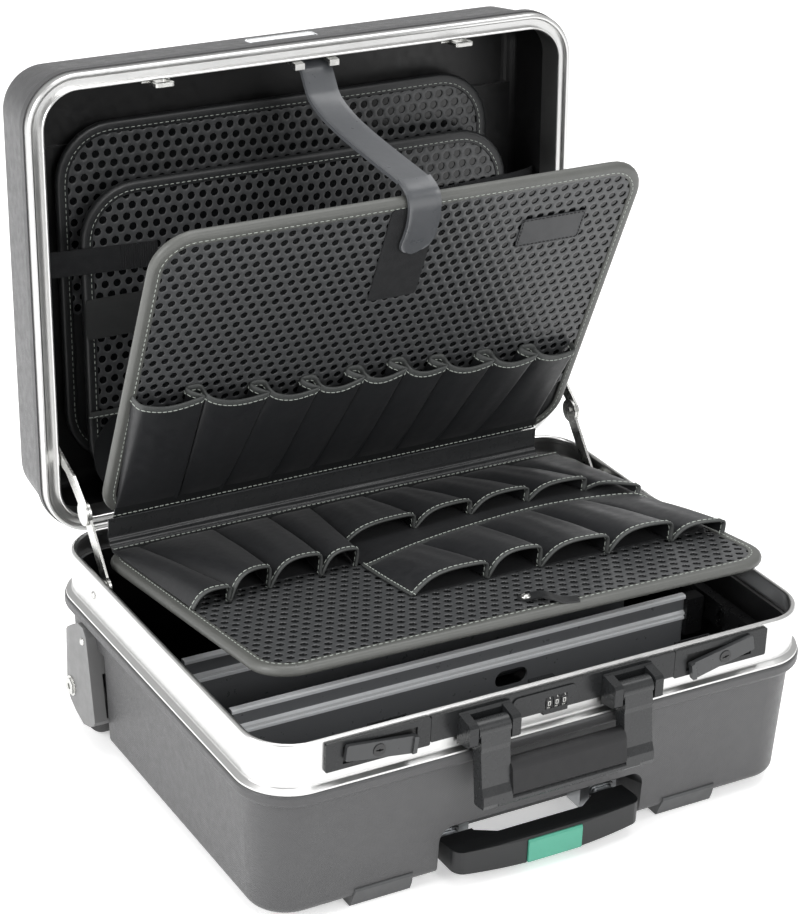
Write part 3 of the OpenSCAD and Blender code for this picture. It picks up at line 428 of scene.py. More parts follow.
def eased(P, times=2):
    """A polyline with its corners cut twice at a quarter and three quarters of each leg, both ends kept."""
    P = np.array(P, float)
    for _ in range(times):
        legs = np.stack([P[:-1] * 0.75 + P[1:] * 0.25, P[:-1] * 0.25 + P[1:] * 0.75], 1)
        P = np.vstack([P[:1], legs.reshape(-1, P.shape[1]), P[-1:]])
    return P


# ---------------------------------------------------------------- stitches
STITCHES = {}      # (body, thread, piece that they lie on if it is soft): the stitches' (verts, faces)
SOFT = []          # (object, axis, anchor, share kept) of what flattens as the lid shuts
STITCH_RINGS = np.array([(-0.5, 0.45), (-0.36, 1.0), (0.36, 1.0), (0.5, 0.45)])     # (share of length, of radius)
STITCH_SIDES = 5


def stitch(body, line, normals, closed=False, pitch=5.0, length=3.5, r=0.42, thread="thread", group=""):
    """Sews a row of stitches along a line in metres, one each pitch. A stitch is a bar along the line's direction t,
    with rings centre + r * (sin a * n + cos a * t x n) that narrow at both ends."""
    path = np.vstack([line, line[:1]]) if closed else line
    N = np.vstack([normals, normals[:1]]) if closed else normals
    run = travelled(path)
    count = max(2, int(round(run[-1] / (pitch * 0.001))))
    s = np.linspace(0, run[-1], count, endpoint=not closed)
    Q, n = (np.stack([np.interp(s, run, V[:, k]) for k in range(3)], -1) for V in (path, N))
    n = unit(n)
    t = unit(np.roll(Q, -1, axis=0) - np.roll(Q, 1, axis=0) if closed else np.gradient(Q, axis=0))
    b = np.cross(t, n)
    a = np.linspace(0, 2 * math.pi, STITCH_SIDES + 1)[:-1]
    ring = n[:, None, :] * np.sin(a)[None, :, None] + b[:, None, :] * np.cos(a)[None, :, None]
    jitter = rng.uniform(-0.1, 0.1, len(Q))[:, None, None, None]
    along, wide = (STITCH_RINGS[None, :, k, None, None] for k in (0, 1))
    V = (Q[:, None, None, :] + t[:, None, None, :] * (along * length * 0.001) + ring[:, None] * (wide * r * 0.001)
         + jitter * 0.0003 * b[:, None, None, :])
    size = len(STITCH_RINGS) * STITCH_SIDES
    first = size * np.arange(len(Q))[:, None, None]
    ends = np.array([np.arange(STITCH_SIDES)[::-1], np.arange(size - STITCH_SIDES, size)])
    faces = ((quads(len(STITCH_RINGS), STITCH_SIDES, wrap_u=True) + first).reshape(-1, 4).tolist()
             + (ends + first).reshape(-1, STITCH_SIDES).tolist())
    STITCHES.setdefault((body, thread, group), []).append((V.reshape(-1, 3), faces))


# ---------------------------------------------------------------- camera, floor, light
# The camera's axes, place and lens are those that fit the photograph's perspective.
RIGHT, UP, BACK = (0.873721, -0.485553, 0.029159), (0.186994, 0.390614, 0.901362), (-0.44905, -0.782086, 0.432083)
CAMERA = mm(-963.66, -1580.65, 1140.03)
FLOOR_HALF, FLOOR_Z = 12.0, -0.0003

scene = bpy.context.scene
cam_data = bpy.data.cameras.new("camera")
cam = bpy.data.objects.new("camera", cam_data)
scene.collection.objects.link(cam)
cam.matrix_world = Matrix.Translation(Vector(CAMERA)) @ Matrix(list(zip(RIGHT, UP, BACK))).to_4x4()
cam_data.sensor_width = 36.0
cam_data.sensor_fit = "AUTO"
cam_data.lens = 104.05
cam_data.shift_x, cam_data.shift_y = 0.0315, 0.005
cam_data.clip_end = 50
scene.camera = cam


def backdrop():
    """A level square of pale studio floor, which glows a little so that it reads as white paper."""
    me = bpy.data.meshes.new("studio_floor")
    s, z = FLOOR_HALF, FLOOR_Z
    me.from_pydata([(-s, -s, z), (s, -s, z), (s, s, z), (-s, s, z)], [], [(0, 1, 2, 3)])
    ob = bpy.data.objects.new("studio_floor", me)
    scene.collection.objects.link(ob)
    me.materials.append(material("pale_studio_floor", "#f6f6f6", 0.7, spread=0.005, Emission_Color=(1, 1, 1, 1),
                                 Emission_Strength=0.42))


def lamp(name, where, aim, size, power):
    """A square soft box that looks at a point."""
    data = bpy.data.lights.new(name, "AREA")
    data.shape, data.size, data.energy = "SQUARE", size, power
    ob = bpy.data.objects.new(name, data)
    scene.collection.objects.link(ob)
    ob.location = where
    ob.rotation_euler = Vector(np.subtract(aim, where)).to_track_quat("-Z", "Y").to_euler()


backdrop()
world = bpy.data.worlds.new("studio")
scene.world = world
world.use_nodes = True
sky = world.node_tree.nodes["Background"]
sky.inputs["Color"].default_value = (1, 1, 1, 1)
sky.inputs["Strength"].default_value = 0.6
lamp("left_key", (-2.9, -0.2, 1.5), (0, 0, 0.2), 2.0, 70)
lamp("top", (0.3, 0.2, 3.4), (0, 0, 0.2), 3.0, 80)
lamp("front_top", (0.3, -2.6, 1.75), (0, -0.05, 0.1), 1.4, 34)
scene.view_settings.view_transform = "Standard"
scene.view_settings.look = "None"

# ---------------------------------------------------------------- finishes of the frame's own meshes
LATCH_FLOOR = (-186.2, -185.2)       # the latch plates' sunk face lies between these y
BEAD_Z, LIP_Z = (96.6, 105.4), 116   # a divider's raised bead lies between these z, its rolled top edge above this one


def paint(names, *finishes, pick=None):
    """Gives meshes their finishes. pick tells, from a mesh's face centres and normals, which faces take the second."""
    for name in names.split():
        me = CAD[name].data
        me.materials.clear()
        for f in finishes:
            me.materials.append(FINISH[f])
        n = len(me.polygons)
        index = np.zeros(n, np.int32)
        if pick:
            centres, normals = np.zeros(n * 3), np.zeros(n * 3)
            me.polygons.foreach_get("center", centres)
            me.polygons.foreach_get("normal", normals)
            index = pick(centres.reshape(-1, 3) * 1000 + [0, BASE_MIDDLE, 0], normals.reshape(-1, 3)).astype(np.int32)
        me.polygons.foreach_set("material_index", index)
        me.update()


def base_inside(c, n):
    """Faces that look at a point inside the base, but not those of the channel and notch that hold the pull bar."""
    channel = (np.abs(c[:, 0]) < 91.6) & (c[:, 2] < 32)
    return (np.sum((c - [0, 0, 95]) * n, axis=1) < 0) & ~channel


def lid_inside(c, n):
    """Faces that look at a point inside the lid."""
    return np.sum((c - [0, *turned_open(0, 172)]) * n, axis=1) < 0


def beads(c, n):
    """A divider's raised lines, painted pale as a highlight: the bead across its front and the rolled top edge."""
    bead = (c[:, 2] > BEAD_Z[0]) & (c[:, 2] < BEAD_Z[1]) & (n[:, 1] < -0.1)
    return (bead | (c[:, 2] > LIP_Z)) & (np.abs(n[:, 0]) < 0.5)


def latch_floor(c, n):
    """The sunk face behind a latch lever, painted black as shade."""
    return (c[:, 1] > LATCH_FLOOR[0]) & (c[:, 1] < LATCH_FLOOR[1]) & (np.abs(n[:, 1]) > 0.9)


paint("base_shell", "shell", "inside", pick=base_inside)
paint("lid_shell", "shell", "inside", pick=lid_inside)
paint("base_frame lid_frame", "alu")
# the dividers' beads and rolled edges take the pale painted highlight
paint("divider_front divider_rear", "divider", "bead", pick=beads)
# the carrier shares the dividers' grey, partly painted reflection
paint("board_carrier", "divider")
paint("stay_lower_left stay_lower_right stay_upper_left stay_upper_right stay_rivets lid_stay_rivets hinge_pins "
      "handle_pins dial_axle base_hinge_leaves lid_hinge_leaves lid_catches frame_rivets axle_bolts", "steel")
# the levers' lacquer is painted a little paler, as lit from above
paint("latch_lever_left latch_lever_right", "lever")
paint("lock_rail combination_housing handle_bracket_left handle_bracket_right", "lacquer")
# the sunk face behind each lever is painted black as shade
paint("latch_plate_left latch_plate_right", "lacquer", "recess", pick=latch_floor)
paint("lock_cylinder_left lock_cylinder_right dial_1 dial_2 dial_3 divider_brackets divider_rails", "black")
paint("carry_handle", "arm")
paint("handle_grip", "grip")
paint("front_feet", "foot")
paint("wheel_housing_left wheel_housing_right", "wheelbox")
paint("telescope_grip", "handle_bar")
paint("release_button", "button")
paint("tyre_left tyre_right", "tyre")
paint("wheel_hub_left wheel_hub_right", "wheelbox")
paint("telescope_sleeves telescope_mid_tubes telescope_inner_tubes", "tube")

# ---------------------------------------------------------------- tool boards
EDGE_BAND = 10.0      # width of a bound edge on each face
EDGE_PROUD = 0.7      # how far the binding stands off the board
EDGE_SEAM = 7.4       # from the board's rim to the seam
UNDER_EDGE = 3.4      # the sheet's border cells stop this far inside the rim, under the binding
HOLE_DEPTH = 1.1


def edge_profile(t):
    """The bound edge's section on a board t thick: flat bands on both faces and a half-ellipse nose between them."""
    h = t / 2 + EDGE_PROUD
    a = np.radians(np.linspace(90, -90, 9))
    nose = np.stack([h * 0.9 * (np.cos(a) - 1), h * np.sin(a)], -1)
    band = np.array([(-EDGE_BAND, t / 2 - 0.8), (-EDGE_BAND, h - 0.35), (-EDGE_BAND + 0.6, h)])
    return np.vstack([band, nose, (band * [1, -1])[::-1]])


def perforated_sheet(name, board, rect, corner, rows_from, pitch, r, h, body):
    """A sheet with round holes on a triangular lattice. Each cell is a hexagon round a bevelled hole that goes down to
    the core: five rings of centre + radius * (cos, sin). Points past the rounded outline are drawn in along their
    direction from the corner's centre."""
    x0, x1, d0, d1 = rect

    def drawn_in(x, d, edge):
        """Points moved to at most corner less edge from the nearest corner's centre, and how far they were."""
        cx, cd = np.clip(x, x0 + corner, x1 - corner), np.clip(d, d0 + corner, d1 - corner)
        far = np.hypot(x - cx, d - cd)
        k = np.minimum(1.0, (corner - edge) / np.maximum(far, 1e-9))
        return cx + (x - cx) * k, cd + (d - cd) * k, far

    row = pitch * math.sqrt(3) / 2
    jj, ii = np.meshgrid(np.arange(int((d1 - rows_from) / row) + 1), np.arange(int((x1 - x0) / pitch) + 1),
                         indexing="ij")
    cx, cd = (x0 + 4 + ii * pitch + (jj % 2) * pitch / 2).ravel(), (rows_from + jj * row).ravel()
    inside = drawn_in(cx, cd, 0)[2] <= corner - 4.6
    cx, cd = cx[inside], cd[inside]
    k = np.arange(12)
    a = np.radians(30 * k)
    hexagon = np.where(k % 2 == 0, pitch / 2, pitch / math.sqrt(3))
    rings = []
    for radius, z in ((hexagon, 0.0), (r + 0.45, 0.0), (r + 0.1, -0.18), (r - 0.05, -0.5), (r - 0.1, -HOLE_DEPTH)):
        x, d, _ = drawn_in(cx[:, None] + radius * np.cos(a), cd[:, None] + radius * np.sin(a), UNDER_EDGE)
        rings.append(board(x, d, np.full(x.shape, h + z)))
    first = 12 * len(rings) * np.arange(len(cx))[:, None]
    walls = (quads(len(rings), 12, wrap_u=True)[None] + first[:, :, None]).reshape(-1, 4)
    floors = 12 * (len(rings) - 1) + k[None] + first
    lowest = np.tile(np.arange(12 * (len(rings) - 1)) // 12 == len(rings) - 2, len(cx))
    piece(name, np.stack(rings, 1), walls.tolist() + floors.tolist(), [FINISH["sheet"], FINISH["hole"]], body,
          "board_cover", index=np.concatenate([lowest, np.ones(len(floors))]), flat=50)


def tool_board(name, board, rect, corners, body, replaces, holes, sheet_h, t=7.0, sewn=(1, -1), bind="bind"):
    """A core in a bound edge, seams on its sewn sides, and a perforated sheet let into its visible face. holes are the
    first row's d, the pitch and the holes' radius."""
    outline = p, o = rounded(*rect, *corners)
    edge = carried(board, outline, edge_profile(t))
    core = slab(board, outline, EDGE_BAND / 2, -t / 2 + 0.2, t / 2 - 1.3)
    piece(name + "_core", *core, FINISH["cover"], body, "board_cover", replaces=replaces)
    piece(name + "_edge", edge, quads(*edge.shape[:2], wrap_v=True), FINISH[bind], body, "board_cover", flat=60)
    q = p - o * EDGE_SEAM
    for side in sewn:
        seam = board(q[:, 0], q[:, 1], np.full(len(q), side * (t / 2 + EDGE_PROUD - 0.05)))
        stitch(body, seam, np.tile(board.normal() * side, (len(q), 1)), closed=True, r=0.34, length=3.2)
    perforated_sheet(name + "_sheet", board, rect, sum(corners) / 2, *holes, sheet_h, body)


def flat_tape(name, board, path, w, h, body, finish="hem", sag=0.0):
    """A sewn tape along a curve of (x, d) on a board: curve + u * width * its sideways direction, a little higher in
    its middle. sag gives it slow waves."""
    P = eased(path)
    T = unit(np.gradient(P, axis=0))
    S = np.stack([-T[:, 1], T[:, 0]], -1)
    u = np.linspace(-0.5, 0.5, 5)
    x, d = (P[:, None, k] + S[:, None, k] * u * w for k in (0, 1))
    G = board(x, d, h + 0.35 * (1 - (2 * u) ** 2)[None, :] + sag * np.sin(P[:, :1] * 0.09))
    piece(name, *thick(facing(G, board.normal()), 0.9), FINISH[finish], body, "pocket_cloth", flat=50)
    q = P - S * (w * 0.22)
    stitch(body, board(q[:, 0], q[:, 1], np.full(len(q), h + 0.45)), np.tile(board.normal(), (len(q), 1)), pitch=4.6,
           length=3.4, r=0.4)


def panel(name, board, rect, h, t, finish, body, slot, corner=3.0, wave=0.0, mess=0.0):
    """A thin sheet on a board: an even grid whose corner points are drawn onto a circle round the corner's centre,
    higher by wave * sin * sin and by a random mess."""
    x0, x1, d0, d1 = rect
    nx, nd = max(8, int((x1 - x0) / 4)), max(6, int((d1 - d0) / 4))
    X, D = np.meshgrid(np.linspace(x0, x1, nx), np.linspace(d0, d1, nd))
    cx, cd = np.clip(X, x0 + corner, x1 - corner), np.clip(D, d0 + corner, d1 - corner)
    far = np.hypot(X - cx, D - cd)
    k = np.where((cx != X) & (cd != D), np.minimum(1, corner / np.maximum(far, 1e-9)), 1.0)
    X, D = cx + (X - cx) * k, cd + (D - cd) * k
    H = h + wave * np.sin(X * 0.05 + 1) * np.sin(D * 0.07) + mess * rng.uniform(-1, 1, X.shape)
    piece(name, *thick(facing(board(X, D, H), board.normal()), t), FINISH[finish], body, slot, flat=50)


def side_strap(name, sign, d, replaces=()):
    """A hook-and-loop strap from the lid's wall over the front board's edge, with its ribbed hook end on top."""
    u = np.linspace(-0.5, 0.5, 9)
    over = eased([(236, -2.4), (231, 1.2), (222, 3.4), (212, 4.6), (200, 5.2), (180, 5.0), (158, 4.9)])
    ribs = np.linspace(158, 126, 66)
    ridges = 5.0 + 0.35 * np.sin(np.arange(66) * math.pi / 2)
    rough = 0.25 * rng.uniform(-1, 1, (len(over), len(u)))
    for end, x, h, t, flat, covers in (("", over[:, :1], over[:, 1:] + rough, 1.6, 80, replaces),
                                       ("_hooks", ribs[:, None], ridges[:, None], 1.4, 30, ())):
        G = LID_FRONT(sign * x + 0 * u, d + u * 21 + (x - 200) * 0.04, h + 0 * u)
        piece(name + end, *thick(facing(G, LID_FRONT.normal()), t), FINISH["pile"], "lid", "strap_leather",
              replaces=covers, flat=flat)


# lid boards
tool_board("back_board", LID_BACK, (-200, 200, -158, 132), (48, 48), "lid", ("lid_back_board",), (-20, 10.4, 3.3), 2.5,
           t=5, sewn=(1,), bind="bind_dark")
tool_board("front_board", LID_FRONT, (-191, 205, -174, 88), (48, 48), "lid", ("lid_front_board",), (-112, 10.4, 3.35),
           3.0, t=6, sewn=(1,), bind="bind_dark")
panel("front_board_pocket", LID_FRONT, (-188, 202, -166, -102), 4.6, 1.0, "cloth", "lid", "pocket_cloth", corner=40,
      wave=0.8)
flat_tape("front_board_pocket_hem", LID_FRONT, [(-190, -104), (-60, -107), (80, -106), (204, -104)], 6, 5.6, "lid",
          sag=0.3)
panel("front_board_elastic", LID_FRONT, (-190, 204, -39, -5), 4.4, 0.9, "web", "lid", "strap_leather", wave=0.2)
side_strap("lid_strap_left", -1, 28, ("lid_board_straps",))
side_strap("lid_strap_right", 1, 33)

# middle board, with the pile that its strap sticks to and a bare patch
tool_board("middle_board", MIDDLE, (-217, 213, 0.6, 300.6), (34, 34), "middle_tool_board", ("middle_board",),
           (60, 10.0, 3.1), 3.5)
panel("middle_board_pile", MIDDLE, (-20, 23, 199, 293), 4.7, 1.1, "pile", "middle_tool_board", "board_cover",
      mess=0.12)
panel("middle_board_patch", MIDDLE, (106, 165.5, 229.5, 258.5), 4.5, 0.9, "patch", "middle_tool_board", "board_cover",
      corner=2)
seam = np.array([(107.5, 231), (164, 231), (164, 257), (107.5, 257), (107.5, 231)])
stitch("middle_tool_board", MIDDLE(seam[:, 0], seam[:, 1], np.full(5, 4.7)), np.tile(MIDDLE.normal(), (5, 1)),
       pitch=3.6, length=2.6, r=0.36, thread="dark_thread")

# base board
tool_board("base_board", BASE, (-218, 222, -17, 280.6), (30, 32), "base_tool_board", ("base_board",), (60, 10.0, 3.1),
           3.5)
panel("base_board_cloth", BASE, (-208, 214, -9, 118), 4.2, 0.6, "cloth", "base_tool_board", "pocket_cloth", corner=22)
panel("base_board_front_cloth", BASE, (-57, 213, 100, 202), 4.35, 0.6, "cloth", "base_tool_board", "pocket_cloth",
      corner=6)

# press stud: rings of (radius, height) round its place, in front of a tab that is sewn to the bound edge and arches up
STUD, STUD_SIDES = (11, 254), 28
STUD_RINGS = [(4.4, 5.6), (4.4, 6.6), (4.0, 7.1), (3.2, 7.2), (3.0, 6.9), (2.4, 6.9), (2.1, 7.6), (1.4, 8.0),
              (0.3, 8.1)]
TAB = [(44, 274, 4.9), (34, 273, 5.0), (28, 271, 7.0), (24, 267, 9.6), (19, 262, 9.8), (15, 257, 7.6),
       (10, 253.5, 5.8), (5, 251, 5.4)]
ang = np.linspace(0, 2 * math.pi, STUD_SIDES + 1)[:-1]
rings = np.array(STUD_RINGS)[:, :, None]
stud = BASE(STUD[0] + rings[:, 0] * np.cos(ang), STUD[1] + rings[:, 0] * np.sin(ang), rings[:, 1] + 0 * ang)
piece("press_stud", stud, closed_rings(stud), FINISH["steel"], "base_tool_board", "bright_steel", flat=40)
loop, u = eased(TAB), np.linspace(-1, 1, 7)
half = np.interp(loop[:, 0], [5, 9, 13, 44], [1.5, 4.6, 5.6, 5.2])[:, None]
tab = BASE(loop[:, :1] - 0.4 * half * u, loop[:, 1:2] + half * u, loop[:, 2:] + 0 * u)
piece("press_stud_tab", *thick(tab[::-1], 1.4), FINISH["cover"], "base_tool_board", "strap_leather", flat=60)

# ---------------------------------------------------------------- pockets
CLOTH_T = 1.0             # thickness of the pocket cloth
BOARD_FACE = 3.5          # height of a board's face over its middle
SHUT_SHARE = 0.4          # what is left of a pocket's height when the lid is shut
MOUTH_DIP = 4.5           # how far a standing pocket's mouth dips in its middle
# Tables of the pockets' outlines, one pocket at a time. A standing pocket's front: (share of its width, of its height)
FRONT = ((0.16, 0.93), (0.34, 1.0), (0.52, 1.0), (0.70, 0.98), (0.86, 0.95), (0.96, 0.93))
# The fold from its right end back to the board and forward again as the next one: (x, d) from the seam, the share of
# this pocket's height, that of the next one's, a height added, and the base's height and x from its own seam
FOLD = ((0.8, 0, 0.88, 0, 0, 1.9, 0), (1.0, 0.2, 0.78, 0, 0, 1.8, 0), (-1.5, 0.4, 0.70, 0, 0, 1.6, -0.5),
        (-7.125, 1.5, 0.45, 0, 0, 1.2, -2.5), (-9.5, 2, 0.30, 0, 0, 1.0, -3.0), (-10.3, 2.2, 0.14, 0, 0, 0.9, -3.2),
        (-7.0, 2.4, 0, 0, 1.2, 0.8, -2.8), (-1.0, 2, 0, 0, 1.0, 0.8, 0), (1.6, 1.5, 0, 0, 1.5, 0.9, 0.8),
        (2.6, 1.0, 0, 0.25, 0, 1.0, 1.2), (2.4, 0.3, 0, 0.55, 0, 1.1, 1.4), (3.4, -0.4, 0, 0.76, 0, 1.3, 1.6))
# A lying pocket's low arch: (share of its width, x added, share of its height)
ARCH = ((0.03, 0, 0.16), (0.10, 0, 0.42), (0.19, 0, 0.68), (0.30, 0, 0.87), (0.43, 0, 0.97), (0.56, 0, 1.0),
        (0.70, 0, 0.99), (0.84, 0, 0.95), (0.93, 1.2, 0.90), (0.975, 2.0, 0.78), (0.985, 1.2, 0.45))


def hem(name, P, body, w):
    """The folded tape round a pocket mouth, with its stitches on both faces: a flat eight-sided section carried along
    the cloth's top row, in the cloth's own upward direction D and its normal N."""
    top = P[-1]
    D, T = unit(top - P[-3]), unit(np.gradient(top, axis=0))
    N = unit(np.cross(T, D))
    if np.mean(np.sum(N * grid_normals(P)[-1], axis=1)) < 0:
        N = -N
    c = top - D * (w * 0.5 - 0.8) * 0.001 - N * (CLOTH_T * 0.0005)
    hw, ht = w * 0.5, CLOTH_T * 0.5 + 0.55
    half = [(-hw, -ht * 0.5), (-hw + 0.3, -ht), (hw - 0.7, -ht), (hw, -ht * 0.4)]
    section = np.array(half + [(a, -b) for a, b in half[::-1]]) * 0.001
    R = c[:, None] + D[:, None] * section[None, :, :1] + N[:, None] * section[None, :, 1:]
    faces = closed_rings(R)
    faces[-2:] = [cap[::-1] for cap in faces[-2:]]
    tape = piece(name + "_hem", R, faces, FINISH["hem"], body, "pocket_cloth", flat=50)
    for side in (1, -1):
        seam = c - D * (hw * 0.55) * 0.001 + N * ((ht + 0.1) * side * 0.001)
        stitch(body, seam, N * side, pitch=4.6, length=3.5, r=0.4, group=name)
    return tape


def pocket_row(name, board, columns, body, hem_w=5.0, replaces=(), wrinkle=0.5):
    """A row of pockets from one cloth. A column is (mouth x, d, h, base x, d, h, bulge), and the cloth runs straight
    from the sewn base at v = 0 to the mouth at v = 1, but its height goes with v to the power 3/4, swells by bulge *
    sin and carries wrinkles that cross the row."""
    C = eased(columns)
    v = np.linspace(0, 1, 18)[:, None]
    x = C[:, 3] + (C[:, 0] - C[:, 3]) * v
    d = C[:, 4] + (C[:, 1] - C[:, 4]) * v
    h = C[:, 5] + (C[:, 2] - C[:, 5]) * v ** 0.75 + C[:, 6] * np.sin(math.pi * v ** 0.8)
    ph = travelled(C[:, :2])
    h = h + (wrinkle * np.sin(ph * 0.23 + 5 * v) * np.sin(ph * 0.11 - 3.1 * v + 1) * np.clip(C[:, 2] / 8, 0, 1)
             * np.sin(math.pi * v))
    P = facing(board(x, d, h), board.normal())
    ob = piece(name, *thick(P, CLOTH_T), FINISH["cloth"], body, "pocket_cloth", replaces=replaces, flat=75)
    tape = hem(name, P, body, hem_w)
    for soft in (ob, tape):
        SOFT.append((soft, board.normal().tolist(), board(0.0, 100.0, BOARD_FACE).tolist(), SHUT_SHARE))


def standing(mouth, seams, base_seams, base_d, peak):
    """Columns for standing pockets. The cloth runs to a pocket's right end, folds back to the board behind it, turns
    there and comes forward again as the next pocket's left side."""
    cols = []

    def col(x, d, h, base_x, base_h=1.3, s=0.0):
        """Adds a column, its heights counted from the board's face. sin(pi * s) bulges the front, not the folds."""
        bulge = 0.8 * math.sin(math.pi * s) if h > 3 else 0
        cols.append((x, d, h + BOARD_FACE, base_x, base_d, base_h + BOARD_FACE, bulge))

    for k, p in enumerate(peak):
        (xl, xr), (bl, br), (ml, mr) = (row[k:k + 2] for row in (seams, base_seams, mouth))
        if k == 0:
            col(xl, ml, 1.0, bl, 0.6)
            col(xl + 1, ml - 0.3, 0.62 * p, bl + (br - bl) * 0.01, s=0.01)
            col(xl + 4, ml - 0.8, 0.85 * p, bl + (br - bl) * 0.04, s=0.04)
        for q, share in FRONT:
            dip = MOUTH_DIP * math.sin(math.pi * q) ** 1.2
            col(xl + (xr - xl) * q, ml + (mr - ml) * q - dip, p * share, bl + (br - bl) * q, s=q)
        if k < len(peak) - 1:
            for dx, dd, this, following, more, base_h, base_dx in FOLD:
                col(xr + dx, mr + dd, p * this + peak[k + 1] * following + more, br + base_dx, base_h)
        else:
            col(xr, mr, p * 0.6, br, 1.2)
            col(xr + 0.5, mr, 1.0, br, 0.6)
    return cols


def lying(mouth, seams, base_seams, base_d, peak, by, swell=1.0):
    """Columns for lying pockets, whose mouths are low arches that meet in sharp valleys sewn to the board. by is how
    far all of it lies above the board's middle."""
    cols = []
    for k, p in enumerate(peak):
        (xl, xr), (bl, br), (ml, mr) = (row[k:k + 2] for row in (seams, base_seams, mouth))
        if k == 0:
            cols.append((xl, ml, 0.8, bl, base_d(bl), 0.5, 0))
        for q, dx, share in ARCH:
            b, rise = bl + (br - bl) * q, math.sin(math.pi * q)
            cols.append((xl + (xr - xl) * q + dx, ml + (mr - ml) * q + 2.2 * rise, p * share, b, base_d(b), 1.0,
                         swell * rise))
        cols.append((xr - 0.6, mr - 0.5, 1.1, br, base_d(br), 0.7, 0))
        if k < len(peak) - 1:
            cols.append((xr + 0.8, mr - 0.5, 1.0, br + 0.8, base_d(br), 0.7, 0))
    return [(x, d, h + by, bx, bd, bh + by, bulge) for x, d, h, bx, bd, bh, bulge in cols]


# Each row's lists run from left to right: the mouth's d and x at the seams, the seams' x at the base, and the heights
pocket_row("middle_board_pocket_row", MIDDLE,
           standing([142, 139, 130, 124, 125, 125, 119, 114, 110, 104],
                    [-211, -155, -98, -52, -11, 28, 67, 113, 156, 199],
                    [-205, -151, -111, -67, -29, 10, 49, 88.5, 129, 188], 12, [14, 15.5, 15, 14, 14, 14, 14, 14, 11]),
           "middle_tool_board", replaces=("middle_board_pockets",), wrinkle=0.25, hem_w=6.5)
flat_tape("middle_board_lower_band", MIDDLE, [(-206, 10), (-60, 10.5), (80, 10.5), (190, 11)], 11, 5.6,
          "middle_tool_board", finish="cover")

FRONT_BAND = np.array([(-55.6, 133), (0.6, 112), (80, 97.5), (143, 94), (207, 109), (210, 122)])
pocket_row("base_board_left_pockets", BASE,
           lying([139, 138, 131, 129, 128], [-209, -177, -139.5, -94, -62], [-209, -188, -119, -69, -30],
                 lambda x: -10, [14, 21, 21, 18], 4.2, 1.5),
           "base_tool_board", replaces=("base_board_pockets",))
pocket_row("base_board_rear_pockets", BASE,
           lying([84, 79, 76, 76, 80, 112], [-52, 18.5, 73, 128, 182, 213], [-28, 20, 62, 110, 160, 212],
                 lambda x: -10, [15, 15, 15, 14, 10], 4.2),
           "base_tool_board")
pocket_row("base_board_front_pockets", BASE,
           lying([204, 204, 205, 209, 213, 222], [-56, 9, 56, 115, 172, 215], [-55, 2, 62, 116, 166, 208],
                 lambda x: float(np.interp(x, FRONT_BAND[:, 0], FRONT_BAND[:, 1])) - 1, [16, 20, 18, 19, 14], 4.4),
           "base_tool_board")
flat_tape("base_board_front_band", BASE, FRONT_BAND, 6.0, 6.2, "base_tool_board")
flat_tape("base_board_panel_edge", BASE, [(-57, 128), (-58, 160), (-57, 205)], 4.0, 5.6, "base_tool_board")
flat_tape("base_board_rear_band", BASE, [(-205, -9), (-60, -11), (80, -11), (212, -8)], 9.0, 5.6, "base_tool_board",
          finish="cover")

# ---------------------------------------------------------------- strap
STRAP_HALF, STRAP_CROWN = 14.5, 0.8
STRAP_SEAMS = (3.0, 4.6)      # two seams along each edge, this far in
# The strap's outer face as (y, z) from the lid's rim down to the middle board, and its end as (d, h, x) on that board
BAND_LINE = [(230.4, 518.8), (226, 515.2), (213.5, 511.8), (206, 502), (198, 490), (176, 481.5), (149, 476.5),
             (118, 473), (92, 470.6), (64, 468.2), (51, 466.9)]
END_LINE = [(306.2, -11.2, 2.5), (306.4, -6, 2.6), (305.8, -1.4, 3.0), (304.2, 2.6, 3.6), (300.6, 5.4, 4.4),
            (295, 6.8, 5.4), (286, 6.8, 7.2), (276, 6.5, 8.4), (266, 6.3, 8.2), (256, 6.2, 7.0), (251, 6.1, 6.4),
            (248, 6.0, 6.2), (246.6, 6.0, 6.0)]


def strap(name, line, half, t, body, replaces):
    """A leather strap whose outer face is line + u * half * x + its rise * N: it is crowned by 1 - u squared, and its
    edges turn down. N is the line's normal."""
    u = np.linspace(-1, 1, 13)
    sideways = np.array([1.0, 0, 0])
    N = unit(np.cross(sideways, unit(np.gradient(line, axis=0))))
    rise = np.where(np.abs(u) > 0.93, -0.5, STRAP_CROWN * (1 - u ** 2) * 0.5)
    P = line[:, None, :] + (sideways * (u[None, :, None] * half[:, None, None])
                            + N[:, None, :] * rise[None, :, None]) * 0.001
    if np.sum(grid_normals(P)[len(line) // 2, 6] * N[len(line) // 2]) < 0:
        P = P[:, ::-1]
    ob = piece(name, *thick(P, t), FINISH["leather"], body, "strap_leather", replaces=replaces, flat=60)
    for side in (-1, 1):
        for seam in STRAP_SEAMS:
            q = line + sideways * (side * np.maximum(half - seam, 0.4)[:, None]) * 0.001 + N * 0.0004
            stitch(body, q, N, pitch=3.2, length=2.2, r=0.3, thread="dark_thread", group=name)
    return ob


line = eased(BAND_LINE)
band = strap("strap_band", mm(2.5, line[:, 0], line[:, 1]), np.full(len(line), STRAP_HALF), 2.6, "lid",
             ("holding_strap",))
SOFT.append((band, [0.0, 1.0, 0.0], [0.0, 0.192, 0.5], 0.06))
path = eased(END_LINE)
from_tip = path[:, 0] - 246.4
round_tip = np.sqrt(np.maximum(STRAP_HALF ** 2 - (STRAP_HALF - from_tip) ** 2, 1.5))
tip = strap("strap_end_piece", MIDDLE(path[:, 2], path[:, 0], path[:, 1]),
            np.where(from_tip < STRAP_HALF, round_tip, STRAP_HALF), 2.4, "middle_tool_board", ("strap_end",))
SOFT.append((tip, MIDDLE.normal().tolist(), MIDDLE(0.0, 300.0, 5.0).tolist(), 0.5))

# ---------------------------------------------------------------- spine
SPINE_AXIS, SPINE_R = (156, 158.9), 9.7      # the arc that the spine bends round, in y and z
SPINE_LOOKS_AT = (156, 164.0)                # the creases lean towards this line

